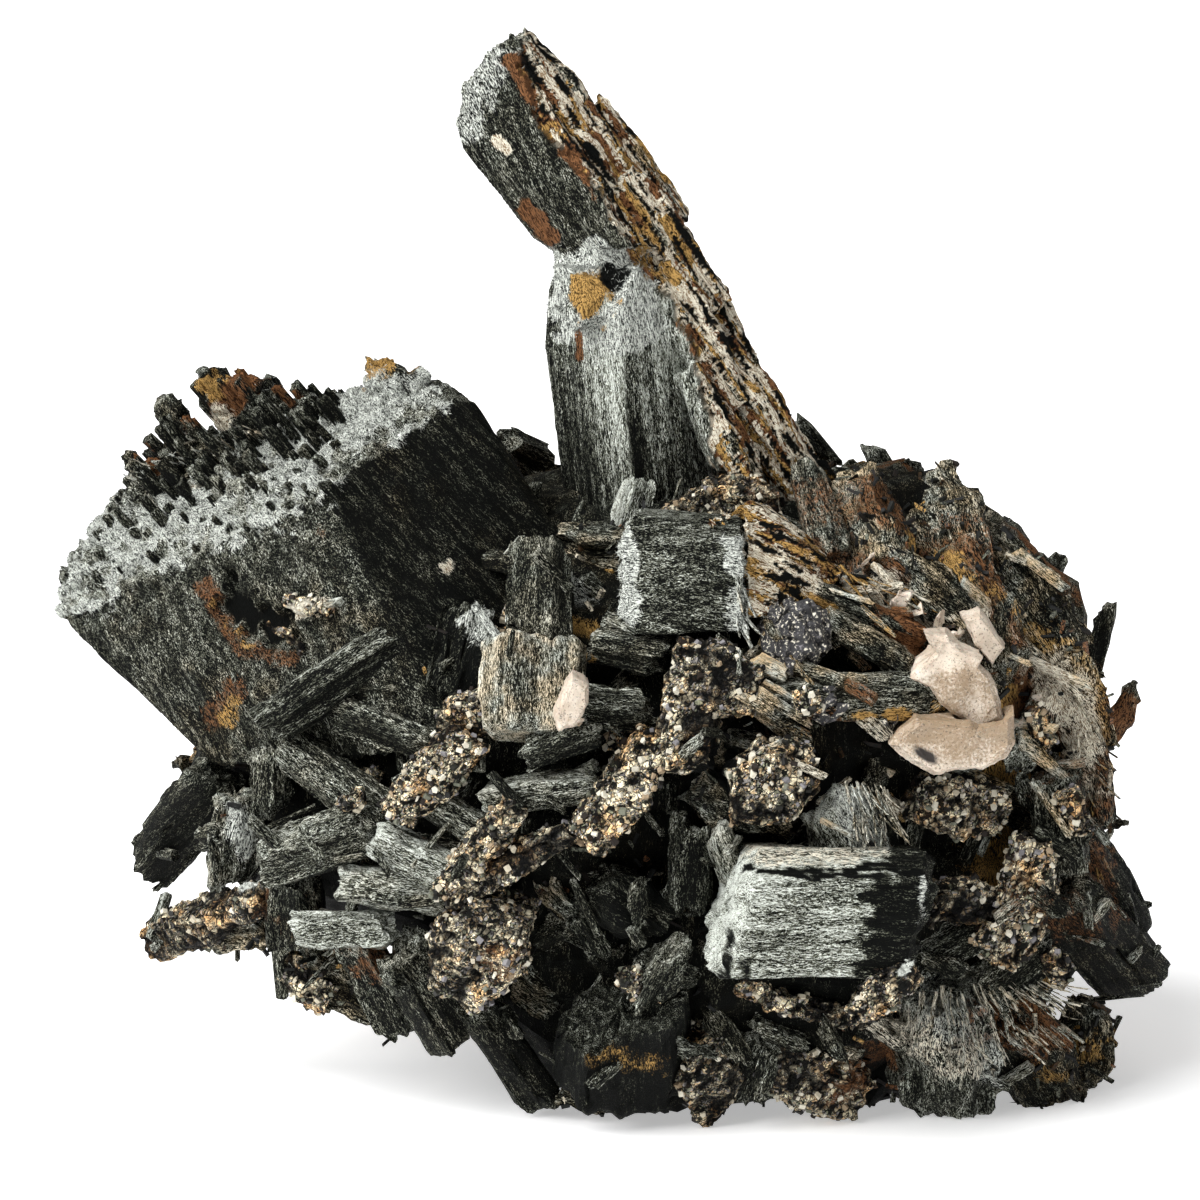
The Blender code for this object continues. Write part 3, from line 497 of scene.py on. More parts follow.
def ring_sizes(row, seed, body):
    """For each ring of a crystal: its place along it, its closing in at a cap, its width and its slant."""
    kind = KINDS[row.kind]
    cap = TUFT_RINGS if row.kind == "tuft" else CAP_RINGS
    parts = np.concatenate([np.zeros(len(cap)), body, np.ones(len(cap))])
    shrink = np.concatenate([cap[::-1], np.ones(len(body)), cap])
    knots, sizes = zip(*kind.profile)
    slants = (kind.slant * math.cos(seed * 3.7), kind.slant * math.sin(seed * 5.1))
    slant = np.interp(parts, knots, [slants[0] if knot < 0.5 else slants[1] for knot in knots])
    return parts, shrink, np.interp(parts, knots, sizes) * shrink, slant


def worn_stand(local, relief, seed, edge, near_end):
    """How far each point of a crystal stands out, with chips off its edges and ends."""
    stand = axis_relief(local, relief, seed)
    broken = np.clip(layered(local * CHIP_STRETCH, seed + 5) - 0.05, 0, 1)
    stand = stand - relief.chips * broken * (0.75 * edge + 0.5 * near_end)
    if relief.lumps:
        stand = stand + relief.lumps * (cobbles(local * 0.8, seed + 2) - 0.45)
    return stand


def broken_fibres(local, seed):
    """How far the fibres of a broken end stand out, in a few even steps and fine between."""
    fine = 0.4 * layered(local * (1.3, 1.3, 0), seed + 7)
    return fine + 0.7 * np.round(soft_noise(local * (0.55, 0.55, 0), seed + 8) * 3) / 3


def crystal_form(row, seed, coarse=1.0):
    """A crystal with grooves along it, chipped edges and ragged ends."""
    kind = KINDS[row.kind]
    relief = kind.relief
    start, end = np.array(row.start, float), np.array(row.end, float)
    basis = axes_along(end - start, row.roll)
    length = np.linalg.norm(end - start)
    rim, corner_gap, outward = rim_of(row.kind, row.width, row.thickness, kind.spacing * coarse)
    body = np.linspace(0, 1, max(4, round(length / kind.step / coarse)))
    parts, shrink, size, slant = ring_sizes(row, seed, body)
    local = np.zeros((len(parts), len(rim), 3))
    local[..., :2] = rim * size[:, None, None]
    local[..., 2] = (parts * length)[:, None] + local[..., 0] * slant[:, None]

    edge = np.exp(-corner_gap / EDGE_REACH)[None, :] * (shrink == 1)[:, None]
    near_end = np.exp(-np.minimum(parts, 1 - parts)[:, None] * length / END_REACH)
    patterned = local + seed * PATTERN_SHIFT
    stand = worn_stand(patterned, relief, seed, edge, near_end)
    local[..., :2] += outward * (stand * shrink[:, None])[..., None]
    sign = np.where(parts > 0.5, 1, -1)[:, None]
    local[..., 2] += sign * relief.ragged * (broken_fibres(patterned, seed) - 0.35) * near_end * 0.7
    if row.kind == "lump":
        local[..., 2] += sign * (1 - shrink)[:, None] * row.thickness * 0.12

    flat = np.concatenate([local.reshape(-1, 3), [(0, 0, 0), (0, 0, length)]])
    points = start + flat @ basis
    if kind.wander:
        points = points + wander(points, seed, kind.wander)
    points = points + ORIGIN_SHIFT
    quads, tris = tube_faces(len(parts), len(rim))

    def whole(values):
        filled = np.broadcast_to(values, local.shape[:2]).reshape(-1)
        return np.concatenate([filled, filled[[0, -1]]])

    tone_draw, brown_draw = hashed(np.array([seed, 5, 9]), 3), hashed(np.array([seed, 2, 1]), 8)
    marks = stains(points)
    marks["axis"] = flat + seed * PATTERN_SHIFT
    tone = kind.tone if row.tone is None else row.tone
    brown = kind.brown if row.brown is None else row.brown
    marks["tone"] = np.full(len(points), tone + 0.22 * (tone_draw - 0.5))
    marks["brown"] = np.full(len(points), brown) + 0.25 * (brown_draw - 0.3)
    # Paler at frayed ends and worn edges: partly real fraying, partly painted highlight.
    marks["fray_and_highlight"] = whole(np.clip(0.55 * edge + 0.9 * near_end, 0, 1))
    marks["depth"] = whole(stand)
    return Form(points, quads, tris, marks)


# Crystals of the cluster, as rows of Crystal.
CLUSTER_ROWS = [
    # on the left
    ("prism", (-36.5, -23, 45), (-23, -32, 37), 6.5, 5, -20, 0.4),
    ("prism", (-39, -24, 31), (-25, -31.5, 37.5), 8.5, 6, 15, 0.58),
    ("pale", (-25.5, -34, 36), (-14.5, -36, 31), 5.5, 4.5, 10),
    ("pale", (-30, -29.5, 30), (-17, -34, 29.5), 5, 4, -10),
    ("prism", (-35.5, -23.5, 29.5), (-35.5, -21.5, 20), 7.5, 6, 20, 0.3),
    ("pale", (-35, -25, 23), (-24, -29.5, 24.5), 5.5, 4.5, 0, 0.7),
    ("prism", (-54, 0, 25.5), (-44, -13, 38.5), 9, 5.5, 20),
    ("crust", (-53.5, -1.5, 16), (-38, -22, 26.5), 6, 5.5),
    ("rough", (-49, -3.5, 18), (-38, -18.5, 20.5), 4, 4.5),
    ("prism", (-38, -21.5, 43.5), (-38, -22, 36), 6, 5.5, 20),
    ("rough", (-42.5, -15.5, 37.5), (-43.5, -14, 26), 7.5, 6.5, 0, 0.5, 0.1),
    ("prism", (-47, -12, 31), (-43, -18.5, 33), 3.5, 4),
    ("crust", (-37, -18, 17.5), (-30.5, -19.5, 13.5), 5.5, 6),
    ("prism", (-28.5, -27, 23.5), (-22.5, -22, 10.5), 7.5, 6.5, 20),
    ("rough", (-35, -18.5, 19), (-23.5, -18.5, 10.5), 7.5, 7.5),
    ("prism", (-22.5, -30.5, 22.5), (-16.5, -24, 10.5), 8.5, 6.5, -20),
    ("prism", (-14.5, -29, 15.5), (-6.5, -21.5, 1.5), 6, 5, 20),
    ("prism", (-30, -25, 49), (-18.5, -32.5, 46), 6, 5, 25, 0.3),
    ("crust", (-18.5, -32.5, 49), (-8.5, -34.5, 51.5), 5, 5),
    ("prism", (-20, -33.5, 41), (-11, -36, 36), 5, 4.5, 0, 0.5),
    ("crust", (-23, -35, 38.5), (-14.5, -35.5, 48.5), 6.5, 6),
    ("prism", (-34.5, -20, 50.5), (-20.5, -27, 51.5), 8, 6.5, 20, 0.15),
    ("rough", (-15, -22.5, 60), (-17.5, -28, 50.5), 8.5, 7.5, 0, 0.12, 0.1),
    # in the middle
    ("prism", (-6.5, -22, 67), (-6.5, -31.5, 57.5), 9, 7, 30, 0.3),
    ("plate", (-7.5, -32, 58.5), (-7.5, -38, 48.5), 12.5, 6, -15, 0.62, 0.62),
    ("prism", (-2.5, -36, 52), (6, -36, 51), 5, 5, 20),
    ("prism", (-8.5, -38.5, 46.5), (0, -38.5, 49.5), 5, 4, 30),
    ("pale", (-13, -36, 41), (-0.5, -38, 43), 4.5, 4, 10, 0.62),
    ("prism", (-1, -30, 58), (7.5, -32.5, 57), 6.5, 6, 30),
    # below the middle
    ("crust", (-17.5, -36.5, 30), (-9, -39, 41.5), 4, 4.5),
    ("crust", (-17, -36.5, 29.5), (-3, -40, 38), 4, 4),
    ("prism", (4.5, -33.5, 15.5), (9, -37.5, 24.5), 5.5, 5, 25),
    ("prism", (-5, -28, 24.5), (4, -26, 19.5), 3.5, 3.5),
    ("rough", (-1, -34.5, 30.5), (7.5, -34, 25.5), 8.5, 7.5, 0, 0.05, 0.1),
    ("prism", (2.5, -34, 16), (3, -24.5, 4.5), 18, 10, -8, -0.08, -0.08),
    ("rough", (-4.5, -23.5, 4), (4.5, -24.5, 3.5), 5.5, 6),
    ("crust", (12, -31, 13), (13, -24.5, 2), 7, 7),
    ("prism", (19, -28, 12), (17.5, -22, 3.5), 8.5, 7, 15),
    ("prism", (10, -35.5, 38.5), (9.5, -34, 27.5), 6, 5, -15),
    ("pale", (13, -37, 38), (16, -36, 30.5), 3.5, 3.5, 0, 0.75),
    # above the pale crystal
    ("rough", (11.5, -34, 44), (22.5, -33, 40), 12, 7.5, 0, None, 0.5),
    ("crust", (8, -36, 56.5), (18, -36.5, 53.5), 8.5, 7.5),
    ("crust", (10, -36.5, 55.5), (9.5, -40, 45), 7.5, 6.5),
    ("crust", (6.5, -19.5, 69), (17, -13.5, 72.5), 5, 5),
    ("lump", (18.5, -33, 60), (25.5, -32.5, 58), 10, 7.5),
    ("lump", (25, -35, 53.5), (25, -36.5, 50), 6, 5),
    ("lump", (32, -34, 50), (32.5, -34.5, 48.5), 4, 3.5),
    # right of the middle
    ("prism", (22.5, -28.5, 63.5), (37.5, -26.5, 56.5), 5.5, 4.5, 15, 0.45, 0.45),
    ("prism", (24.5, -30, 60.5), (35.5, -29.5, 54), 4.5, 4, -20, 0.4, 0.5),
    ("prism", (18.5, -36.5, 52.5), (38, -31, 52), 6, 5.5, 10, 0.55, 0.3),
    ("crust", (14.5, -40, 42), (24, -37.5, 45), 9, 7.5),
    ("rough", (25.5, -36, 41), (31, -34.5, 31), 8.5, 7, 0, 0.6, 0.1),
    ("pale", (14.5, -36.5, 28), (21.5, -35.5, 28), 5, 5),
    ("crust", (15, -28, 17.5), (30, -22.5, 12.5), 5, 5.5),
    ("crust", (19, -28, 9.5), (30, -22.5, 3), 8, 7.5),
    # on the right
    ("rough", (39, -27.5, 17), (41, -19.5, 1), 13.5, 10.5, 0, 0.5, 0.15),
    ("rough", (45.5, -23, 14.5), (55, -12.5, -0.5), 10.5, 8.5),
    ("rough", (57, -12.5, 11.5), (57, -9, -1), 7, 7),
    ("crust", (50, -26.5, 34.5), (48, -25, 20), 6.5, 6),
    ("prism", (44, -26, 16), (51.5, -23, 21.5), 7, 6, 20),
    ("prism", (51.5, -22.5, 28.5), (63.5, -3.5, 12.5), 11, 8.5, 20, 0.22, 0.3),
    ("rough", (55, -17, 43.5), (57.5, -15, 33.5), 7.5, 7),
    ("prism", (51.5, -18.5, 50), (48, -24, 42), 5, 4.5, 30, 0.6),
    ("rough", (45.5, -9.5, 64), (54.5, -14.5, 52), 10, 9, 20),
    ("rough", (52, -16, 54.5), (57.5, -15.5, 42.5), 9, 8.5),
    ("prism", (54.5, -20, 35), (63, -4, 18), 7.5, 7, 15),
    ("prism", (52, -23.5, 41.5), (53.5, -22, 28.5), 7, 6, -25),
    ("crust", (35, -27, 39.5), (46, -22.5, 36.5), 7.5, 6.5),
    ("crust", (37, -29, 28), (46.5, -25.5, 26), 5, 5),
    ("prism", (37, -28, 20.5), (46, -25, 24.5), 6, 5.5),
    # at the top
    ("rough", (29, -7, 71.5), (32.5, -22.5, 63), 11, 9),
    ("rough", (38.5, -0.5, 70.5), (42.5, -18.5, 60.5), 11, 9),
    ("rough", (32, -21.5, 64.5), (41, -24.5, 57), 12, 7.5),
    ("rough", (40, -15, 65), (47, -23.5, 52), 9.5, 7.5),
    ("prism", (24.5, -7.5, 74), (27, -22, 66), 5.5, 5.5, 20, None, 0.3),
    ("crust", (11.5, -15.5, 71), (20.5, -14.5, 70.5), 7.5, 6.5),
    ("rough", (-4.5, -16, 66.5), (3, -18.5, 66), 7.5, 6),
]
PALE_CRYSTAL = Crystal("pale", (13.5, -40.5, 29), (36, -38, 28.5), 16, 15, tone=1.02, brown=0)
OWN_CRYSTALS = {
    "leaning_blade": Crystal("prism", (-38.5, -27, 47), (-22, -27, 58), 6.8, 3.8, 25, tone=0.3),
    "crusted_rod": Crystal("crust", (-1.5, -39.5, 36), (6.5, -38.5, 49), 6, 6, tone=0.85),
    "crusted_block": Crystal("crust", (-17, -31.5, 18), (-10.5, -37, 29.5), 11.5, 9, tone=0.85),
}


def ways_out(count, top=1.0, turned=0.0):
    """Directions from the middle that are spread evenly over a ball by the golden angle."""
    golden = math.pi * (3 - math.sqrt(5))
    for index in range(count):
        height = top - 2 * top * (index + 0.5) / count
        turn = index * golden + turned
        level = math.sqrt(1 - height * height)
        yield index, Vector((math.cos(turn) * level, math.sin(turn) * level, height))


def spread_place(out, depth, spin):
    """A place in the cluster that far out of its middle, and a way across the one that leads out."""
    middle = CLUSTER_CENTRE + Vector(a * b for a, b in zip(out, CLUSTER_RADII)) * depth
    return middle, out.cross(Vector((math.sin(spin), 0.3, math.cos(spin)))).normalized()


def centred(kind, middle, half, width, flatness, roll):
    """A crystal from its middle and half of its length as a vector."""
    return Crystal(kind, middle - half, middle + half, width, width * flatness, roll)


# How far out the middles of the crystals are that no row of the table sets, in front and elsewhere.
SPREAD_DEPTHS, FILL_DEPTHS = (0.84, 0.88), (0.86, 0.93)
SPREAD_LENGTH, SPREAD_WIDTH = 19, 10
FRONT_LENGTH, FRONT_WIDTH = 0.65, 0.7  # of those in front, as parts of the others'
FILL_LENGTH, FILL_WIDTH = 6, 2.4  # the least of each
LOWEST_SEAT = 2.5  # millimetres over the ground, of the middle of a small crystal


def spread_crystals():
    """Rows for the back, the sides and the underside, and for a few in front."""
    kinds = ("prism", "rough", "prism", "crust", "prism", "pale", "rough")
    rows = []
    for index, out in ways_out(SPREAD_COUNT):
        in_front = out.y < 0.1
        overhang = out.z < -0.45 and out.x < -0.4
        if abs(out.z) > 0.85 or overhang or index % (6 if in_front else 2):
            continue
        middle, side = spread_place(out, SPREAD_DEPTHS[not in_front], index * 2.1)
        lift = 0.5 * math.sin(index * 1.9) * (1 - abs(out.x))
        along = (side + out * lift).normalized()
        length = SPREAD_LENGTH + 6 * math.sin(index * 1.3)
        width = SPREAD_WIDTH + 2.5 * math.sin(index * 2.7)
        kind = kinds[len(rows) % len(kinds)]
        if in_front:
            kind = "rod"
            length *= FRONT_LENGTH
            width *= FRONT_WIDTH
        rows.append(centred(kind, middle, along * length / 2, width, 0.7, index * 47 % 90))
    return rows


def fill_crystals(count):
    """Rows for small crystals that fill the gaps between the large ones, on all sides."""
    kinds = ("prism", "rough", "prism", "rod", "pale", "prism", "crust", "rough", "rod")
    rows = []
    for index, out in ways_out(count, 0.92, 1.3):
        draw = [hashed(np.array([index, step, 4]), 6) for step in range(5)]
        depth = FILL_DEPTHS[out.y >= 0] + 0.07 * draw[0]
        middle, side = spread_place(out, depth, draw[1] * 40)
        if middle.z < LOWEST_SEAT or (out.z < -0.3 and out.x < -0.45):
            continue
        along = (side + out * (0.9 * draw[2] - 0.2)).normalized()
        length = FILL_LENGTH + 6 * draw[3]
        width = FILL_WIDTH + 2.2 * draw[4]
        kind = kinds[index % len(kinds)]
        rows.append(centred(kind, middle, along * length / 2, width, 0.75, index * 53 % 90))
    return rows


# ---------------------------------------------------------------- forms cut from the solids

SAME_PLACE = 2e-6  # corners of the solids nearer than this, in metres, are one
FACE_CHIPS = 0.35  # how much of a crystal's chipping a whole face takes
FIBRE_STRETCH = (1.2, 1.2, 0)


def merged(node):
    """A solid of the frame with its loose triangles joined."""
    shape = bmesh.new()
    shape.from_mesh(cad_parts[node].data)
    bmesh.ops.remove_doubles(shape, verts=shape.verts, dist=SAME_PLACE)
    return shape


def remeshed(node, cell):
    """Points, faces and normals of a solid at an even fine cell size, in millimetres."""
    work = linked("work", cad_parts[node].data.copy())
    shape = merged(node)
    shape.to_mesh(work.data)
    shape.free()
    step = work.modifiers.new("cells", "REMESH")
    step.mode = "VOXEL"
    step.voxel_size = cell
    made = bpy.data.meshes.new_from_object(work.evaluated_get(bpy.context.evaluated_depsgraph_get()))
    bpy.data.objects.remove(work, do_unlink=True)
    points, normals = vectors(made.vertices, "co"), vectors(made.vertex_normals, "vector")
    corners = np.array([tuple(face.vertices) for face in made.polygons if len(face.vertices) == 4])
    tris = np.array([tuple(face.vertices) for face in made.polygons if len(face.vertices) == 3], int)
    bpy.data.meshes.remove(made)
    return points / MM, corners, tris.reshape(-1, 3), normals


def dressed(points, quads, tris, normals, basis, relief, seed, tone, brown):
    """A fine form of a solid, with its grooves and steps along the given axes."""
    local = points @ basis.T
    patterned = local + seed * PATTERN_SHIFT
    stand = axis_relief(patterned, relief, seed)
    chipped = np.clip(layered(patterned * CHIP_STRETCH, seed + 5) - 0.1, 0, 1)
    stand = stand - relief.chips * FACE_CHIPS * chipped
    ending = np.abs(normals @ basis[2])
    fibres = layered(patterned * FIBRE_STRETCH, seed + 7)
    stand = stand * (1 - 0.6 * ending) + ramp(ending, 0.35, 0.8) * relief.ragged * (fibres - 0.35) * 0.6
    if relief.lumps:
        stand = stand + relief.lumps * (cobbles(patterned * 1.05, seed + 2) - 0.45)
    moved = points + normals * stand[:, None]
    marks = stains(moved)
    marks["axis"] = patterned
    marks["tone"] = np.zeros(len(points)) + tone
    marks["brown"] = np.zeros(len(points)) + brown
    marks["fray_and_highlight"] = ramp(ending, 0.4, 0.9)
    marks["depth"] = stand
    return Form(moved, quads, tris, marks)


BLOCK_AXIS = (-0.62, -0.15, 0.77)
BLOCK_RELIEF = Relief(0.17, 0.22, 0.6, 0.9)
BLOCK_LENGTH, BLOCK_SLANT = 79.0, 0.14  # along the axis to its broken edge, and how that edge leans
# The block's left faces are painted paler, as lit, and its right faces darker, as shaded.
BLOCK_LEFT, BLOCK_RIGHT = np.array((-0.49, -0.87, 0.0)), np.array((0.46, -0.8, 0.4))  # ways its faces look
PIT_START, PIT_END = (-44.5, -18, 59.5), (-40, -20.5, 58)
PIT_WIDTH, PIT_DEPTH = 2.9, 1.5


def block_ending(points):
    """How far each point is past the edge where the block crystal is broken off."""
    return points @ np.array(BLOCK_AXIS) - BLOCK_LENGTH - BLOCK_SLANT * (-22.7 - points[:, 0])


def block_form(cell):
    basis = axes_along(BLOCK_AXIS)
    points, quads, tris, normals = remeshed("block_crystal", cell)
    pit = line_distance(points, PIT_START, PIT_END) / PIT_WIDTH + 0.8 * layered(points * (0.5, 0.5, 0.25), 31)
    inside = 1 - ramp(pit, 0.55, 1.0)
    past = block_ending(points) + 1.6 * layered(points * 0.55, 33)
    rough_end = ramp(past, -1.2, 1.5)
    crumbs = 1.1 * (cobbles(points * 0.6, 35) - 0.4) + 0.5 * layered(points * 0.8, 36)
    points = points + normals * (crumbs * rough_end - PIT_DEPTH * inside)[:, None]
    # Painted light and shade: paler on the left faces, darker on the right ones.
    left, right = ramp(normals @ BLOCK_LEFT, 0.6, 0.95), ramp(normals @ BLOCK_RIGHT, 0.6, 0.95)
    tone = 0.26 + 0.16 * left - 0.12 * right
    form = dressed(points, quads, tris, normals, basis, BLOCK_RELIEF, 41, tone, 0.1)
    rod_part = ramp(block_ending(points), 4.5, 6.5)
    # Patchy fuzz, thinner in the hollows between the crumbs so they stay dark: painted shade.
    patchy_fuzz_shaded_hollows = ramp(layered(points * 0.45, 38), -0.75, 0.1) * (0.35 + 0.65 * ramp(crumbs, -0.35, 0.2))
    raise_mark(form.marks, "bloom", rough_end * patchy_fuzz_shaded_hollows * (1 - 0.8 * rod_part))
    # Painted shade: the pit is painted dark inside.
    raise_mark(form.marks, "dark", 0.8 - 0.8 * ramp(pit, 0.3, 0.75))
    form.marks["brown"] = form.marks["brown"] + 0.35 * ramp(layered(points * 0.12, 39), 0.1, 0.7)
    return form


ROD_CREST_START, ROD_CREST_END = (-55, -4, 74), (-38, -9, 80)
CREST_NEAR, CREST_FAR = 3.0, 10.5  # how far from its line the crest starts to fall and has ended
ROD_CELL = 2.1
ROD_ROOT = 2.2  # how deep a bundle starts in the stone
ROD_SKYLINE = [(-64, 63), (-58, 73.5), (-54, 81), (-47, 86.5), (-40, 84.5), (-33, 82.5), (-26, 80)]
ROD_MOST, ROD_LEAST = 4.2, 0.8
ROD_GROUND_CELL = 0.6 * MM


def block_rods():
    """Broken fibre bundles that stand on the end of the block crystal, along its axis."""
    basis = axes_along(BLOCK_AXIS)
    points, _, _, normals = remeshed("block_crystal", ROD_GROUND_CELL)
    near_crest = 1 - ramp(line_distance(points, ROD_CREST_START, ROD_CREST_END), CREST_NEAR, CREST_FAR)
    past = block_ending(points)
    usable = (past > 0.2) & (normals @ basis[2] > 0.1) & (points[:, 0] < -32)
    points, near_crest = points[usable], near_crest[usable]
    local = points @ basis.T
    order = np.argsort(-local[:, 2])
    cells = np.floor(local[order, :2] / ROD_CELL).astype(int)
    _, firsts = np.unique(cells, axis=0, return_index=True)
    forms = []
    for index, pick in enumerate(order[np.sort(firsts)]):
        draw = draws(8, index, 7, 12)
        crest = near_crest[pick]
        if draw[0] > 0.5 + 0.45 * crest:
            continue
        seat = points[pick] - ORIGIN_SHIFT + (draw[1] - 0.5) * basis[0] + (draw[2] - 0.5) * basis[1]
        rise = (ROD_LEAST + (ROD_MOST - ROD_LEAST) * crest) * (0.45 + 0.75 * draw[3])
        lean = basis[2] + 0.22 * (draw[4:7] - 0.5)
        tip = seat + ORIGIN_SHIFT + lean * rise
        rise -= max(0, tip[2] - np.interp(tip[0], *zip(*ROD_SKYLINE))) / basis[2][2]
        if rise < ROD_LEAST / 2:
            continue
        width = (1.0 + 1.0 * draw[7]) * (0.75 + 0.4 * crest)
        row = Crystal(
            "tuft", seat - basis[2] * ROD_ROOT, seat + lean * rise,
            width, width * 0.85, 360 * draw[3], tone=0.12 * draw[4], brown=0.1,
        )
        forms.append(crystal_form(row, BUNDLE_SEED + index))
    return forms


FLANK_AXIS = (-0.57, 0, 0.82)
TALL_RELIEF = Relief(0.15, 0.2, 0.5, 0.9)
FLANK_RELIEF = Relief(0.6, 0.8, 1.4, 1.2, 0.3)
# The way of the fibres, relief, seed, tone and brown of the lower prism, the upper one and the flank.
TALL_PARTS = [
    ((-0.13, 0, 0.99), TALL_RELIEF, 52, 0.45, 0),
    ((-0.51, 0, 0.86), TALL_RELIEF, 53, 0.42, 0.12),
    (FLANK_AXIS, FLANK_RELIEF, 54, 0.7, 0.3),
]
UPPER_START, UPPER_WHOLE = 97, 99  # heights between which the lower prism gives way to the upper one
RIDGE_TOP, RIDGE_LEAN = (-0.1, -11, 91), 0.074
RIDGE_FADE = (62, 93)  # heights between which the pale ridge comes up
RIDGE_BAND, STREAK_BAND = (-1.6, 2.6), (1.5, 0.9)  # middle and half width beside the ridge
FLANK_LINE = [
    (-11.5, 121), (-8.8, 113.4), (-3.9, 108.4), (2, 99.4), (3.6, 95.5),
    (5.3, 94.4), (8.9, 88.3), (9.7, 83), (11, 75), (12, 60),
]


def flank_side(points):
    """How far right of the clean faces' border each point is, in millimetres."""
    xs, zs = zip(*FLANK_LINE[::-1])
    return points[:, 0] - np.interp(points[:, 2], zs, xs)


def band(places, middle, half):
    """1 in the middle of a band, and soft to 0 beside it."""
    return np.exp(-(((places - middle) / half) ** 2))


def tall_shades(marks, points, on_flank, upper):
    """Paints the paler ridge and the dark streaks of the clean faces, and the mottled flank."""
    lower = (1 - on_flank) * (1 - upper)
    beside_ridge = points[:, 0] - RIDGE_TOP[0] - (RIDGE_TOP[2] - points[:, 2]) * RIDGE_LEAN
    fade = ramp(points[:, 2], *RIDGE_FADE)
    ridge = band(beside_ridge, *RIDGE_BAND) * (0.25 + 0.55 * fade)
    streak = band(beside_ridge, *STREAK_BAND) * 0.3
    right = ramp(beside_ridge, 0.5, 2.5) * 0.45
    marks["tone"] = marks["tone"] + lower * (ridge + right - streak - 0.42 + 0.5 * fade)
    mottle(marks, points, axes_along(FLANK_AXIS), on_flank, FLANK_MOTTLES)


# Stains by their seed, the noise where each starts and is full, and the most of it.
FLANK_MOTTLES = [
    ("cream", 58, -0.5, 0.05, 1.5), ("ochre", 56, 0.17, 0.43, 0.85), ("rust", 59, 0.14, 0.38, 0.95),
    ("dark", 60, 0.1, 0.34, 0.92),
]
RUSTY_MOTTLES = [
    ("cream", 64, -0.8, -0.15, 1.5), ("ochre", 65, 0.08, 0.36, 0.95), ("rust", 66, 0.16, 0.42, 0.95),
    ("dark", 67, 0.2, 0.45, 0.9),
]
MOTTLE_FINENESS = 1.9


def mottle(marks, points, basis, part, mottles):
    """Paints long patches of several stains, the last of the list first."""
    long_patch = points @ basis.T * (1.0, 1.0, 0.13)
    marks["brown"] = marks["brown"] + part * 0.8 * ramp(layered(long_patch, mottles[0][1] - 1), -0.1, 0.4)
    for mark, seed, low, high, most in reversed(mottles):
        spread = ramp(layered(long_patch * MOTTLE_FINENESS, seed), low, high) * most
        if mark == "cream":
            spread = spread * (1 - np.clip(1.3 * marks["ochre"] + marks["rust"], 0, 1))
        raise_mark(marks, mark, part * spread)


def tall_form(cell):
    points, quads, tris, normals = remeshed("tall_crystal", cell)
    beside = flank_side(points) + 0.8 * layered(points * 0.5, 51)
    on_flank = ramp(beside, -0.3, 0.9)
    upper = ramp(points[:, 2], UPPER_START, UPPER_WHOLE)
    lower_form, upper_form, flank_form = (
        dressed(points, quads, tris, normals, axes_along(axis), *look) for axis, *look in TALL_PARTS
    )
    on_upper = (upper > 0.5) & (on_flank <= 0.5)
    flank = on_flank > 0.5
    moved = np.where(flank[:, None], flank_form.points, lower_form.points)
    moved = np.where(on_upper[:, None], upper_form.points, moved)
    marks = {}
    for key, value in lower_form.marks.items():
        shape = (-1, 1) if value.ndim == 2 else (-1,)
        value = np.where(flank.reshape(shape), flank_form.marks[key], value)
        marks[key] = np.where(on_upper.reshape(shape), upper_form.marks[key], value)
    tall_shades(marks, points, on_flank, upper)
    return Form(moved, quads, tris, marks)


def slab_form(node, cell, axis, relief, seed, tone, brown):
    points, quads, tris, normals = remeshed(node, cell)
    return dressed(points, quads, tris, normals, axes_along(axis), relief, seed, tone, brown)


DARK_END_START, DARK_END_WHOLE = 26.8, 27.8  # how far across the pale crystal its dark end is
BITE_START, BITE_END = (12, -44, 20), (13.5, -44, 26)
CRACK_HEIGHT = 34.8


def pale_crystal_form():
    """The broad pale crystal: its right end is dark, and painted shade marks a crack along its upper edge and
    a bite out of its left side.
    """
    form = crystal_form(PALE_CRYSTAL, OWN_SEED)
    points = form.points
    slope = 0.3 * (points[:, 2] - 28)
    ragged = 1.7 * layered(points * 0.75, 71) + 1.5 * layered(points * 0.25, 70)
    right = ramp(points[:, 0] - slope + ragged, DARK_END_START, DARK_END_WHOLE)
    uneven = 1.5 * layered(points * 0.5, 72)
    corner = ramp(line_distance(points, BITE_START, BITE_END) + uneven, 3.0, 1.6)
    form.marks["tone"] = form.marks["tone"] - 0.85 * right
    # Painted shade where a bite is out of its left side.
    raise_mark(form.marks, "dark", 0.9 * corner)
    # Painted shade along the crack in its upper edge.
    crack = np.abs(points[:, 2] - CRACK_HEIGHT - 0.9 * layered(points * 0.35, 73))
    raise_mark(form.marks, "dark", ramp(crack, 0.45, 0.15))
    above = ramp(points[:, 2] - 0.9 * layered(points * 0.35, 73), 35, 35.6) * (1 - right)
    raise_mark(form.marks, "cream", 0.5 * above)
    return form


def subdivided(node, rounds):
    """Points, triangles and normals of a solid, each face cut in four as many times as said."""
    shape = merged(node)
    bmesh.ops.triangulate(shape, faces=shape.faces)
    for _ in range(rounds):
        bmesh.ops.subdivide_edges(shape, edges=shape.edges, cuts=1, use_grid_fill=True)
    bmesh.ops.triangulate(shape, faces=shape.faces)
    shape.normal_update()
    points = np.array([point.co for point in shape.verts]) / MM
    normals = np.array([point.normal for point in shape.verts])
    tris = np.array([[point.index for point in face.verts] for face in shape.faces])
    shape.free()
    return points, tris, normals


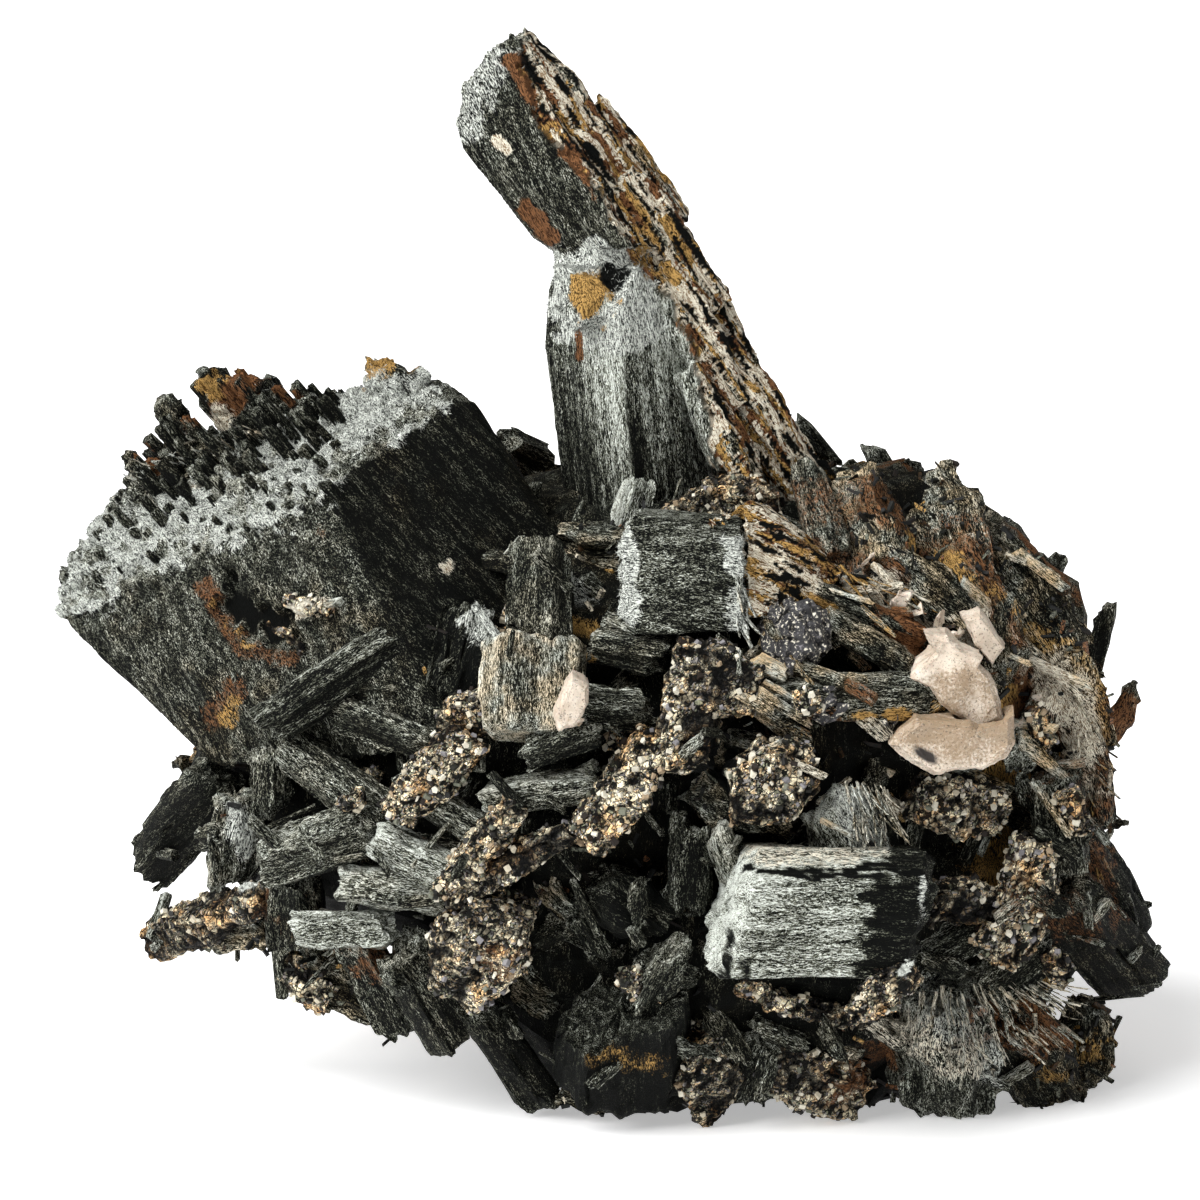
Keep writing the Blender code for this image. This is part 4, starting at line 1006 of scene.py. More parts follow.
def feldspar_form(node, seed, stain):
    """A plate of feldspar with cleavage steps, stained brown where it meets the dark crystals."""
    points, tris, normals = subdivided(node, FELDSPAR_ROUNDS)
    quads = np.zeros((0, 4), int)
    slanted = points @ axes_along((0.5, -0.2, 0.8)).T
    steps = np.round(layered(slanted * (0.3, 0.3, 0.22), seed) * 2.5) / 2.5
    stand = 0.3 * steps + 0.08 * layered(points * 1.2, seed + 1)
    moved = points + normals * stand[:, None]
    marks = stains(moved)
    marks["axis"] = points + seed * 3.1
    low, high = moved.min(axis=0), moved.max(axis=0)
    upward = (moved[:, 2] - low[2]) / (high[2] - low[2])
    marks["brown"] = np.clip(stain(moved, upward) + 0.35 * layered(points * 0.35, seed + 2), 0, 1)
    marks["tone"] = hashed(np.floor(points * 0.23 + 0.3 * layered(points * 0.3, seed)[:, None]), seed)
    return Form(moved, quads, tris, marks)


GROUNDMASS = [
    ((7, 3, 40), (49, 37, 33)),
    ((18, 3, 22), (42, 35, 29)),
    ((29, 3, 46), (30, 30, 27)),
    ((-20, 3, 38), (28, 25, 21)),
]
ROCK_LEVELS = 5


def groundmass_form(centre, radii, seed):
    """An uneven lump of the rock that the crystals grew from."""
    shape = bmesh.new()
    bmesh.ops.create_icosphere(shape, subdivisions=ROCK_LEVELS, radius=1)
    unit = np.array([point.co for point in shape.verts])
    tris = np.array([[point.index for point in face.verts] for face in shape.faces])
    shape.free()
    points = np.array(centre, float) + unit * radii
    points = points + wander(points * 0.4, 3, 3.0)
    stand = 1.4 * (cobbles(points * 0.32, seed) - 0.5) + 0.9 * layered(points * 0.5, seed + 1)
    points = points + unit * (stand - 0.8)[:, None] + ORIGIN_SHIFT
    marks = stains(points)
    marks["axis"] = points
    behind = np.maximum(ramp(points[:, 1], 0, 14), ramp(points[:, 0], 36, 46))
    # Less of the painted shade at the back and on the right.
    marks["dark"] = marks["dark"] * (1 - 0.85 * behind)
    marks["tone"] = 0.05 + 0.4 * behind
    for stain, drift in (("rust", 8), ("ochre", 9)):
        weathered = behind * ramp(layered(points * 0.1, seed + drift), 0.12, 0.4)
        raise_mark(marks, stain, 0.75 * weathered)
    marks["brown"] = np.clip(0.3 + 0.5 * layered(points * 0.1, 81), 0, 1)
    marks["fray_and_highlight"] = np.zeros(len(points))
    marks["depth"] = stand
    return Form(points, np.zeros((0, 4), int), tris, marks)


# Where the thin crystals fan out from, and the way they point there.
FAN_START, FAN_AXIS = (14, 38), (0.78, 0.05, -0.62)
FAN_SHARE, FAN_TOP = 0.4, 66
OUTER_CELL = 1.3 * MM
OUTER_LEAST = 0.85  # how far out the thin crystals start


def outer_places(count, seed):
    """Places spread over the outside of the crystals grown together, with the way out at each."""
    points, _, _, normals = remeshed("crystal_mass", OUTER_CELL)
    usable = (outwardness(points) > OUTER_LEAST) & (points[:, 2] > LOWEST_SEAT)
    points, normals = points[usable], normals[usable]
    in_fan = (points[:, 0] > FAN_START[0]) & (points[:, 2] > FAN_START[1]) & (points[:, 1] < 2)
    order = np.argsort(hashed(np.floor(points * 3), seed) * np.where(in_fan, FAN_SHARE, 1))[:count]
    return points[order], normals[order]


SHARD_COARSENESS = 1.35
SHARD_LENGTH, SHARD_WIDTH = 2.2, 0.7  # the least of each, in millimetres
FAN_TILT, FAN_LENGTH, FAN_WIDTH = 0.5, 1.15, 1.35  # of those that fan out, as parts of the others'
# Seed of the first form of each kind. The others follow it.
FILL_SEED, BUNDLE_SEED, SHARD_SEED, CHIP_SEED, DEBRIS_SEED, RUBBLE_SEED, STRAND_SEED = (
    500, 300, 700, 860, 920, 960, 1000
)
OWN_SEED, ROCK_SEED, FELDSPAR_SEED = 140, 83, 90


def shard_forms(count):
    """Thin crystals that lie over the others. On the right they fan out to the lower right."""
    forms = []
    for index, (point, normal) in enumerate(zip(*outer_places(count, 91))):
        draw = draws(10, index, 3, 15)
        in_fan = point[0] > FAN_START[0] and FAN_START[1] < point[2]
        if in_fan and point[2] > FAN_TOP:
            continue
        way = np.array(FAN_AXIS) + 0.5 * (draw[:3] - 0.5) if in_fan else draw[:3] - 0.5
        flat = way - normal * (way @ normal)
        flat = flat / max(np.linalg.norm(flat), 0.1)
        tilt = (0.05 + 0.6 * draw[3]) * (FAN_TILT if in_fan else 1)
        along = flat * math.cos(tilt) + normal * math.sin(tilt)
        length = (SHARD_LENGTH + 5.5 * draw[4]) * (FAN_LENGTH if in_fan else 1)
        width = (SHARD_WIDTH + 1.3 * draw[5] ** 2) * (FAN_WIDTH if in_fan else 1)
        seat = point - ORIGIN_SHIFT - 0.1 * normal
        row = Crystal(
            "tuft", seat - along * length * 0.4, seat + along * length * 0.6,
            width, width * 0.8, 360 * draw[6],
            tone=(0.35 if in_fan else 0) + 0.65 * draw[7], brown=0.8 if in_fan else 0.1,
        )
        form = crystal_form(row, SHARD_SEED + index, SHARD_COARSENESS)
        if in_fan:
            mark = ("rust", "ochre", "cream", "cream")[int(draw[9] * 3.99)]
            raise_mark(form.marks, mark, (0.62 if mark == "cream" else 0.5) * draw[8])
        forms.append(form)
    return forms


# Small feldspar chips on the right: places across and up, half lengths, and turns in degrees.
CHIPS = [
    (31.5, 62.9, 1.5, 60), (33.8, 61.6, 1.0, 20), (36.4, 61.0, 1.3, 75), (38.2, 58.9, 1.2, 40),
    (46.2, 48.1, 1.3, 90), (47.6, 50.6, 0.9, 10), (27.5, 66.5, 0.9, 50), (-5.5, 51.2, 1.0, 35),
]
# Rubble on the front: places across and up, lengths, widths, turns in degrees and kinds.
RUBBLE = [
    (49, 47, 6, 3.0, -60, "crust"), (53, 37, 6, 3.2, -75, "crust"), (42, 43, 4, 2.6, -20, "crust"),
    (44, 21, 6, 3.4, -35, "crust"), (51, 18, 5, 3.2, -50, "crust"), (22, 52, 4, 2.6, 10, "crust"),
    (-30, 41, 4, 2.4, 30, "crust"), (-20, 24, 4, 2.8, -40, "crust"), (36, 26, 4, 2.8, 60, "crust"),
    (50, 27, 6, 3.0, -40, "prism"), (46, 38, 7, 2.8, -70, "prism"), (38, 20, 6, 3.2, -30, "prism"),
    (-26, 18, 5, 2.8, -50, "prism"), (-12, 14, 6, 3.2, -60, "prism"), (3, 30, 6, 3.0, 80, "prism"),
    (9, 12, 5, 3.2, -20, "prism"), (47, 10, 5, 3.4, -30, "rough"), (29, 9, 5, 3.4, 20, "rough"),
    (-8, 40, 4, 2.4, -30, "prism"), (12, 24, 4, 2.6, 40, "rough"),
]
FRONT_CELL = 0.9 * MM
DEBRIS_COARSENESS = 0.8
FRONT_SPAN = 1.2  # how near a place a point of the surface has to be


@functools.cache
def front_surface():
    """Points of the surface of the crystals grown together."""
    return remeshed("crystal_mass", FRONT_CELL)[0]


def front_place(points, x, z):
    """The foremost point of a surface at a place across and up."""
    near = np.flatnonzero(np.hypot(points[:, 0] - x, points[:, 2] - z) < FRONT_SPAN)
    return points[near[np.argmin(points[near, 1])]] - ORIGIN_SHIFT + (0, -0.3, 0)


def chip_forms():
    """Small feldspar chips on the front of the crystals grown together."""
    points = front_surface()
    forms = []
    for index, (x, z, half, turn) in enumerate(CHIPS):
        place, angle = front_place(points, x, z), math.radians(turn)
        along = np.array((math.cos(angle), -0.2, math.sin(angle))) * half
        row = Crystal("pale", place - along, place + along, half * 1.3, half, 15 * index, 0.3, 0.15)
        forms.append(crystal_form(row, CHIP_SEED + index))
    return forms


# Small pieces that fill the front: kinds, both ends and widths.
DEBRIS = [
    ("crust", (13.5, -30.5, 18.5), (21, -30, 15.5), 3.2), ("crust", (19.5, -29.5, 16), (27, -28, 13.5), 3.4),
    ("crust", (27, -28.5, 15), (31.5, -30, 18.5), 3.0), ("prism", (10, -29.5, 15.5), (14, -30.5, 9.5), 4.2),
    ("prism", (15.5, -29, 13), (21.5, -28.5, 10.5), 3.6), ("rough", (22, -26.5, 11), (27.5, -25.5, 8), 4.2),
    ("prism", (29, -28.5, 14), (33, -29.5, 11), 3.8), ("prism", (17.5, -29.5, 10), (16, -29, 5), 3.4),
    ("crust", (22.5, -26.5, 7.5), (28, -25.5, 5.5), 3.8), ("prism", (23, -29, 13.5), (25.5, -29, 9), 2.6),
    ("crust", (-38.2, -22.3, 61), (-33.2, -24.8, 60.4), 1.7),
    ("crust", (-40.5, -21.2, 58.6), (-36, -23, 56), 1.6),
    ("pale", (-34, -24.6, 61.3), (-31.3, -25.7, 62.4), 1.4), ("prism", (-5, -30, 27), (-2, -30.5, 21), 4.0),
    ("rough", (-9, -29.5, 30), (-5, -30, 26), 3.6), ("crust", (0, -33.5, 20.5), (5, -34.5, 17.5), 3.2),
    ("prism", (2, -34, 22), (9, -33, 20), 3.4), ("crust", (45, -24, 33), (50, -22.5, 27), 3.6),
    ("crust", (27, -45, 20), (33, -43.5, 24), 4.0), ("crust", (25.5, -43.5, 18), (31, -42.5, 19.5), 4.0),
]


def debris_forms():
    """The forms of the small pieces on the front, with the kind of each."""
    for index, (kind, start, end, width) in enumerate(DEBRIS):
        start, end = np.array(start) - ORIGIN_SHIFT, np.array(end) - ORIGIN_SHIFT
        row = Crystal(kind, start, end, width, width * 0.8, 40 * index)
        yield kind, crystal_form(row, DEBRIS_SEED + index, coarse=DEBRIS_COARSENESS)
    points = front_surface()
    for index, (x, z, length, width, turn, kind) in enumerate(RUBBLE):
        place, angle = front_place(points, x, z), math.radians(turn)
        along = np.array((math.cos(angle), 0.12, math.sin(angle))) * length / 2
        row = centred(kind, place, along, width, 0.8, 50 * index)
        yield kind, crystal_form(row, RUBBLE_SEED + index)


class Fringe(NamedTuple):
    """Thin curved strands from a line of roots: how they point at both its ends, and their stain."""

    start: tuple
    end: tuple
    first_way: tuple
    last_way: tuple
    count: int
    length: float
    mark: str


FRINGES = [
    Fringe((34, -29.5, 17), (50, -24.5, 17), (-0.25, -0.4, -1), (1, -0.25, -0.6), 64, 5.5, "cream"),
    Fringe((37, -29.5, 11), (52, -22.5, 12), (0, -0.3, -1), (1, -0.15, -0.7), 44, 4.5, "cream"),
    Fringe((25.5, -36.5, 43), (30, -36, 42), (0.15, -0.6, -1), (0.35, -0.5, -1), 36, 7, "cream"),
    Fringe((13.2, -33, 67), (13.8, -33, 60), (0, -0.4, -1), (0.3, -0.4, -1), 24, 3.5, "bloom"),
    Fringe((53, -19, 50), (56, -15, 26), (0.35, -0.3, -1), (0.1, -0.3, -1), 26, 6, "ochre"),
    Fringe((-57, -6, 73), (-38, -9.5, 79), (-0.6, -0.5, 0.5), (-0.4, -0.5, 0.6), 44, 2.6, "bloom"),
    Fringe((24, -27, 66), (44, -21, 58), (0.7, -0.2, -0.7), (0.7, -0.2, -0.8), 30, 5.5, "ochre"),
]
STRAND_WIDTH, STRAND_BEND, STRAND_COARSENESS = 0.24, 0.5, 1.5


def strand_forms():
    """The strands of every fringe, bent over towards their tips."""
    for step, fringe in enumerate(FRINGES):
        for index in range(fringe.count):
            draw = draws(10, index, 5 + step, 17)
            part = (index + draw[0]) / fringe.count
            root = np.array(fringe.start) * (1 - part) + np.array(fringe.end) * part
            way = np.array(fringe.first_way) * (1 - part) + np.array(fringe.last_way) * part
            way = way / np.linalg.norm(way) + 0.5 * (draw[1:4] - 0.5)
            root = root + 1.5 * (draw[4:7] - 0.5) - ORIGIN_SHIFT
            length = fringe.length * (0.5 + 0.6 * draw[7])
            width = STRAND_WIDTH * (0.7 + 0.8 * draw[8])
            row = Crystal(
                "tuft", root, root + way * length, width, width, 90 * draw[9],
                tone=0.25 + 0.55 * draw[8], brown=0.5,
            )
            form = crystal_form(row, STRAND_SEED + 60 * step + index, STRAND_COARSENESS)
            along = np.clip((form.points - ORIGIN_SHIFT - root) @ way / (way @ way) / length, 0, 1)
            side = np.cross(way, (draw[3] - 0.5, 1, draw[5] - 0.5))
            form.points[:] += STRAND_BEND * length * (along**2)[:, None] * side * (draw[6] - 0.3)
            raise_mark(form.marks, fringe.mark, 0.1 + 0.55 * draw[2])
            yield form


# ---------------------------------------------------------------- materials


class Steps:
    """Adds the nodes of one tree, each fed by plain values or by the sockets of earlier nodes."""

    def __init__(self, tree):
        self.tree = tree
        self.column = 0

    def add(self, kind, feeds=None, **settings):
        made = self.tree.nodes.new(kind)
        made.location = (self.column * 190, -(self.column % 4) * 120)
        self.column += 1
        for setting, value in settings.items():
            setattr(made, setting, value)
        for socket, value in (feeds or {}).items():
            self.feed(made.inputs[socket], value)
        return made

    def feed(self, socket, value):
        if isinstance(value, bpy.types.NodeSocket):
            self.tree.links.new(value, socket)
        else:
            socket.default_value = value

    def math(self, operation, first, second=0.0):
        return self.add("ShaderNodeMath", {0: first, 1: second}, operation=operation).outputs[0]

    def total(self, *parts):
        value = parts[0]
        for part in parts[1:]:
            value = self.math("ADD", value, part)
        return value

    def times(self, first, second):
        return self.math("MULTIPLY", first, second)

    def between(self, value, low, high):
        """0 below low, 1 above high, and smooth between."""
        feeds = {"Value": value, "From Min": low, "From Max": high}
        return self.add("ShaderNodeMapRange", feeds, interpolation_type="SMOOTHSTEP").outputs[0]

    def mix(self, part, first, second):
        feeds = {0: part, 6: first, 7: second}
        return self.add("ShaderNodeMix", feeds, data_type="RGBA", clamp_factor=True).outputs[2]

    def stretched(self, vector, factors):
        feeds = {0: vector, 1: factors}
        return self.add("ShaderNodeVectorMath", feeds, operation="MULTIPLY").outputs[0]

    def ramp(self, value, stops, blend="LINEAR"):
        """The colour of the stops, each a position and a colour, at a value."""
        made = self.add("ShaderNodeValToRGB", {0: value})
        made.color_ramp.interpolation = blend
        elements = made.color_ramp.elements
        elements[0].position, elements[1].position = stops[0][0], stops[1][0]
        for position, _ in stops[2:]:
            elements.new(position)
        for element, (_, hue) in zip(elements, stops):
            element.color = colour(hue)
        return made.outputs["Color"]

    def noise(self, vector, scale, detail=2.0, roughness=0.55):
        feeds = {"Vector": vector, "Scale": scale, "Detail": detail, "Roughness": roughness}
        return self.add("ShaderNodeTexNoise", feeds).outputs["Fac"]

    def mark(self, name):
        made = self.add("ShaderNodeAttribute", attribute_name=name, attribute_type="GEOMETRY")
        return made.outputs["Vector" if name == "axis" else "Fac"]

    def place(self):
        """Object position in millimetres."""
        made = self.add("ShaderNodeTexCoord").outputs["Object"]
        return self.stretched(made, (1 / MM,) * 3)

    def use(self, group, feeds):
        return self.add("ShaderNodeGroup", feeds, node_tree=group).outputs


def colour(value):
    return (*value, 1.0)


def shader_group(name, takes, gives):
    """A new group, with the steps that fill it and its input and output sockets."""
    tree = bpy.data.node_groups.new(name, "ShaderNodeTree")
    for label, kind, value in takes:
        socket = tree.interface.new_socket(name=label, in_out="INPUT", socket_type="NodeSocket" + kind)
        if value is not None:
            socket.default_value = value
    for label, kind in gives:
        tree.interface.new_socket(name=label, in_out="OUTPUT", socket_type="NodeSocket" + kind)
    steps = Steps(tree)
    inside = steps.add("NodeGroupInput").outputs
    return tree, steps, inside, steps.add("NodeGroupOutput").inputs


def hair_group():
    """Short pale dashes that run along a crystal, over slower bands."""
    takes = [("Axis", "Vector", None), ("Fineness", "Float", 5.0)]
    gives = [("Hair", "Float"), ("Fleck", "Float"), ("Band", "Float")]
    tree, steps, taken, given = shader_group("silky hair", takes, gives)
    feeds = {"Vector": taken["Axis"], "Scale": 1.1, "Detail": 2.0}
    waviness = steps.add("ShaderNodeTexNoise", feeds).outputs["Color"]
    wavy = steps.add("ShaderNodeVectorMath", {
        0: waviness, 1: (0.55, 0.55, 0), 2: taken["Axis"],
    }, operation="MULTIPLY_ADD").outputs[0]
    hair = steps.noise(steps.stretched(wavy, (1, 1, 0.11)), taken["Fineness"], 2.0, 0.6)
    fine = steps.times(taken["Fineness"], 1.6)
    fleck = steps.noise(steps.stretched(wavy, (1, 1, 0.3)), fine, 2.0)
    band = steps.noise(steps.stretched(taken["Axis"], (1, 1, 0.08)), 1.1, 3.0)
    steps.feed(given["Hair"], steps.between(hair, 0.4, 0.62))
    steps.feed(given["Fleck"], steps.between(fleck, 0.4, 0.62))
    steps.feed(given["Band"], steps.between(band, 0.38, 0.62))
    return tree


def stain_and_shade_group():
    """A stain with a ragged edge, in two colours. It also lays the dark mark's painted shade."""
    takes = [
        ("Base", "Color", None), ("Amount", "Float", 0.0),
        ("Break-up", "Float", 0.5), ("Variation", "Float", 0.5),
        ("Low", "Color", None), ("High", "Color", None),
    ]
    tree, steps, taken, given = shader_group("ragged stain and shade", takes, [("Colour", "Color")])
    reach = steps.total(taken["Amount"], steps.times(taken["Break-up"], 1.3))
    cover = steps.between(reach, 0.95, 1.35)
    cover = steps.times(cover, steps.between(taken["Amount"], 0.0, 0.12))
    tint = steps.mix(taken["Variation"], taken["Low"], taken["High"])
    steps.feed(given["Colour"], steps.mix(cover, taken["Base"], tint))
    return tree


def grain_group(hues):
    """Small grains packed side by side, each of one colour."""
    takes = [("Place", "Vector", None), ("Fineness", "Float", 2.4)]
    gives = [("Colour", "Color"), ("Height", "Float")]
    tree, steps, taken, given = shader_group("packed grains", takes, gives)
    shaken = steps.noise(taken["Place"], 1.6, 2.0)
    moved = steps.add("ShaderNodeVectorMath", {0: taken["Place"], 1: shaken}, operation="ADD").outputs[0]
    feeds = {"Vector": moved, "Scale": taken["Fineness"]}
    cells = steps.add("ShaderNodeTexVoronoi", feeds, feature="F1")
    seams = steps.add("ShaderNodeTexVoronoi", feeds, feature="DISTANCE_TO_EDGE")
    inside = steps.between(seams.outputs["Distance"], 0.02, 0.14)
    draw = steps.add("ShaderNodeSeparateColor", {0: cells.outputs["Color"]}).outputs[0]
    clump = steps.between(steps.noise(taken["Place"], 0.55, 2.0), 0.3, 0.7)
    draw = steps.total(steps.times(draw, 0.55), steps.times(clump, 0.45))
    grains = grain_ramp(steps, draw, hues)
    steps.feed(given["Colour"], steps.mix(inside, colour(hues.dark), grains))
    steps.feed(given["Height"], steps.times(inside, steps.total(0.6, steps.times(draw, 0.4))))
    return tree


def grain_ramp(steps, draw, hues):
    """One of the colours of crust grains for a number from 0 to 1."""
    stops = [
        (0.0, hues.dark), (0.2, hues.deep_brown), (0.3, hues.slate), (0.37, hues.dull),
        (0.44, hues.lilac), (0.53, hues.tan), (0.63, hues.cream), (0.8, hues.white),
    ]
    return steps.ramp(draw, stops, "CONSTANT")


def new_finish(name, roughness=0.6, specular=0.5):
    """A material, its steps and its shader."""
    made = bpy.data.materials.new(name)
    made.use_nodes = True
    shader = made.node_tree.nodes["Principled BSDF"]
    shader.inputs["Roughness"].default_value = roughness
    shader.inputs["Specular IOR Level"].default_value = specular
    return made, Steps(made.node_tree), shader


def bump(steps, shader, height, distance, strength=1.0):
    feeds = {"Height": height, "Distance": distance * MM, "Strength": strength}
    steps.feed(shader.inputs["Normal"], steps.add("ShaderNodeBump", feeds).outputs["Normal"])


CRUST_SHADE, CRUST_LIGHT = (0.07, 0.07, 0.07), (1.75, 1.7, 1.55)  # between the grains and on them
CRUST_GOLD = (1.15, 0.78, 0.45)
LUMP_STONE, LUMP_GLINT = (0.012, 0.0115, 0.014, 1), (0.26, 0.245, 0.26, 1)
FELDSPAR_PALE, FELDSPAR_DARK = (0.7, 0.62, 0.52, 1), (0.42, 0.33, 0.24, 1)


class Finishes:
    """The materials of the cluster, made once from the scene's colours."""

    def __init__(self, hues):
        self.hues = hues
        self.hair = hair_group()
        self.stain = stain_and_shade_group()
        self.grains = grain_group(hues)
        self.amphibole = self.amphibole_finish()
        self.crust = self.crust_finish()
        self.lump = self.lump_finish()
        self.feldspar = self.feldspar_finish()
        self.grain = self.grain_finish()
        self.fuzz = self.fuzz_finish()
        self.splinter = self.splinter_finish()

    def stained(self, steps, base, place, breaks, variation):
        """The painted stains over a base colour, the dark mark last, which also lays the painted shade."""
        fine = steps.noise(place, 1.7, 4.0, 0.7)
        hues = self.hues
        layers = [
            ("bloom", hues.deep_fuzz, hues.fuzz), ("rust", hues.deep_rust, hues.rust),
            ("ochre", hues.deep_ochre, hues.ochre), ("cream", hues.stained_feldspar, hues.white),
            ("dark", hues.dark, hues.dark),
        ]
        torn = steps.total(steps.times(fine, 0.75), steps.times(breaks, 0.25))
        grit = steps.noise(place, 2.2, 4.0, 0.75)
        drift = steps.total(steps.times(grit, 0.45), steps.times(variation, 0.2), steps.times(breaks, 0.35))
        drift = steps.between(drift, 0.32, 0.54)
        for name, low, high in layers:
            base = steps.use(self.stain, {
                "Base": base, "Amount": steps.mark(name), "Break-up": torn, "Variation": drift,
                "Low": colour(low), "High": colour(high),
            })["Colour"]
        return base

    def amphibole_finish(self):
        """Silky amphibole: pale hairs over near-black, more of them the paler the crystal. The hairs are
        partly painted sheen: faces turned to the light get more of them, and frayed ends and worn edges are
        paler, partly as painted highlight.
        """
        made, steps, shader = new_finish("silky amphibole", 0.6, 0.05)
        hues = self.hues
        tone, brown = steps.mark("tone"), steps.mark("brown")
        hair = steps.use(self.hair, {"Axis": steps.mark("axis"), "Fineness": 8.5})
        place = steps.place()
        patchy = steps.noise(place, 0.3, 3.0)
        amount = steps.total(
            steps.times(hair["Hair"], 0.55), steps.times(hair["Fleck"], 0.36),
            steps.times(hair["Band"], 0.26), steps.times(patchy, 0.2),
            # Frayed ends and worn edges are paler, partly as painted highlight.
            steps.times(tone, 0.7), steps.times(steps.mark("fray_and_highlight"), 0.22),
            # Faces turned to the light are paler: painted sheen.
            steps.times(steps.mark("sky"), 0.2), -0.72,
        )
        stops = [(0.18, hues.dark), (0.4, hues.slate), (0.64, hues.dull), (0.98, hues.pale)]
        base = steps.ramp(amount, stops)
        tinted = steps.stretched(base, tuple(hues.brown))
        weathered = steps.times(brown, steps.between(patchy, 0.35, 0.62))
        base = steps.mix(weathered, base, tinted)
        base = self.stained(steps, base, place, hair["Hair"], hair["Fleck"])
        steps.feed(shader.inputs["Base Color"], base)
        height = steps.total(
            steps.times(hair["Hair"], 0.6), steps.times(hair["Fleck"], 0.35), steps.times(hair["Band"], 0.5),
        )
        bump(steps, shader, height, 0.2, 0.8)
        return made

    def crust_finish(self):
        """A crust of small grains over dark stone."""
        made, steps, shader = new_finish("grainy crust", 0.7, 0.12)
        place = steps.place()
        grains = steps.use(self.grains, {"Place": place, "Fineness": 1.35})
        fine = steps.use(self.grains, {"Place": place, "Fineness": 3.0})
        mixed = steps.mix(steps.between(steps.noise(place, 0.7), 0.4, 0.56), grains["Colour"], fine["Colour"])
        golden = steps.between(steps.noise(place, 0.22, 3.0), 0.5, 0.66)
        mixed = steps.mix(steps.times(golden, 0.75), mixed, steps.stretched(mixed, CRUST_GOLD))
        lit = steps.total(steps.mark("depth"), steps.times(steps.mark("tone"), 0.5))
        lit = steps.between(lit, -0.25, 0.6)
        shaded, sunlit = (steps.stretched(mixed, shade) for shade in (CRUST_SHADE, CRUST_LIGHT))
        base = steps.mix(lit, shaded, sunlit)
        fleck = steps.noise(place, 3.0)
        base = self.stained(steps, base, place, fleck, fleck)
        steps.feed(shader.inputs["Base Color"], base)
        height = steps.total(grains["Height"], steps.times(fine["Height"], 0.4))
        bump(steps, shader, height, 0.45, 1.0)
        return made

    def lump_finish(self):
        """Smooth bluish-black stone with fine glints."""
        made, steps, shader = new_finish("smooth dark stone", 0.42, 0.7)
        place = steps.place()
        veins = steps.noise(steps.stretched(place, (1, 1, 1.6)), 1.3, 5.0, 0.75)
        speck = steps.between(veins, 0.55, 0.68)
        base = steps.mix(speck, LUMP_STONE, LUMP_GLINT)
        spots = steps.between(steps.noise(place, 2.6, 3.0), 0.56, 0.64)
        base = steps.mix(spots, base, colour(self.hues.white))
        steps.feed(shader.inputs["Base Color"], base)
        bump(steps, shader, veins, 0.4, 0.9)
        return made

    def feldspar_finish(self):
        """Cream-pink feldspar with brown stain, darkened by the dark mark, which is partly painted shade deep
        in the cluster.
        """
        made, steps, shader = new_finish("feldspar", 0.5, 0.5)
        place = steps.place()
        cloudy = steps.noise(place, 0.5, 4.0, 0.6)
        fine = steps.noise(place, 3.2, 3.0, 0.65)
        base = steps.mix(steps.between(cloudy, 0.35, 0.65), colour(self.hues.feldspar), FELDSPAR_PALE)
        base = steps.mix(steps.times(steps.mark("tone"), 0.35), base, FELDSPAR_DARK)
        brown = steps.between(steps.total(steps.mark("brown"), steps.times(fine, 1.6)), 1.2, 1.8)
        base = steps.mix(steps.times(brown, 0.85), base, colour(self.hues.stained_feldspar))
        speck = steps.between(steps.noise(place, 4.5, 2.0), 0.58, 0.66)
        base = steps.mix(steps.times(speck, 0.6), base, colour(self.hues.deep_brown))
        # Darkened by the dark mark: partly painted shade deep in the cluster.
        base = steps.mix(steps.mark("dark"), base, colour(self.hues.deep_brown))
        steps.feed(shader.inputs["Base Color"], base)
        shader.inputs["Subsurface Weight"].default_value = 0.08
        shader.inputs["Subsurface Scale"].default_value = 0.4 * MM
        bump(steps, shader, steps.total(cloudy, steps.times(fine, 0.5)), 0.25, 0.6)
        return made

    def grain_finish(self):
        """Loose grains of crust, each of its own colour."""
        made, steps, shader = new_finish("loose grains", 0.55, 0.3)
        tint = grain_ramp(steps, steps.mark("tint"), self.hues)
        speck = steps.noise(steps.place(), 6.0, 2.0)
        base = steps.mix(steps.times(speck, 0.5), tint, colour(self.hues.deep_brown))
        steps.feed(shader.inputs["Base Color"], base)
        return made

    def fuzz_finish(self):
        """Fibres of pale fuzz."""
        made, steps, shader = new_finish("pale fuzz", 0.75, 0.3)
        hues = self.hues
        tint = steps.mark("tint")
        base = steps.mix(steps.between(tint, 0.3, 1.0), colour(hues.deep_fuzz), colour(hues.fuzz))
        steps.feed(shader.inputs["Base Color"], base)
        return made

    def splinter_finish(self):
        """Splinters and chips: most of them dark, some brown, ochre or cream."""
        made, steps, shader = new_finish("splinters", 0.55, 0.25)
        hues = self.hues
        stops = [
            (0.0, hues.dark), (0.3, hues.slate), (0.55, hues.deep_brown), (0.7, hues.dull),
            (0.8, hues.deep_ochre), (0.88, hues.rust), (0.93, hues.cream), (0.97, hues.ochre),
        ]
        chips = steps.ramp(steps.mark("tint"), stops, "CONSTANT")
        fine = steps.noise(steps.place(), 4.0, 3.0, 0.65)
        base = steps.mix(steps.between(fine, 0.4, 0.6), colour(hues.dark), chips)
        steps.feed(shader.inputs["Base Color"], base)
        bump(steps, shader, fine, 0.15, 0.7)
        return made


# ---------------------------------------------------------------- scattered small pieces


class Scatter(NamedTuple):
    """One kind of small piece that is scattered: its mesh node, with its sizes in millimetres."""

    name: str
    shape: str
    per_square_mm: float
    smallest: tuple
    largest: tuple
    lean: float
    seed: int


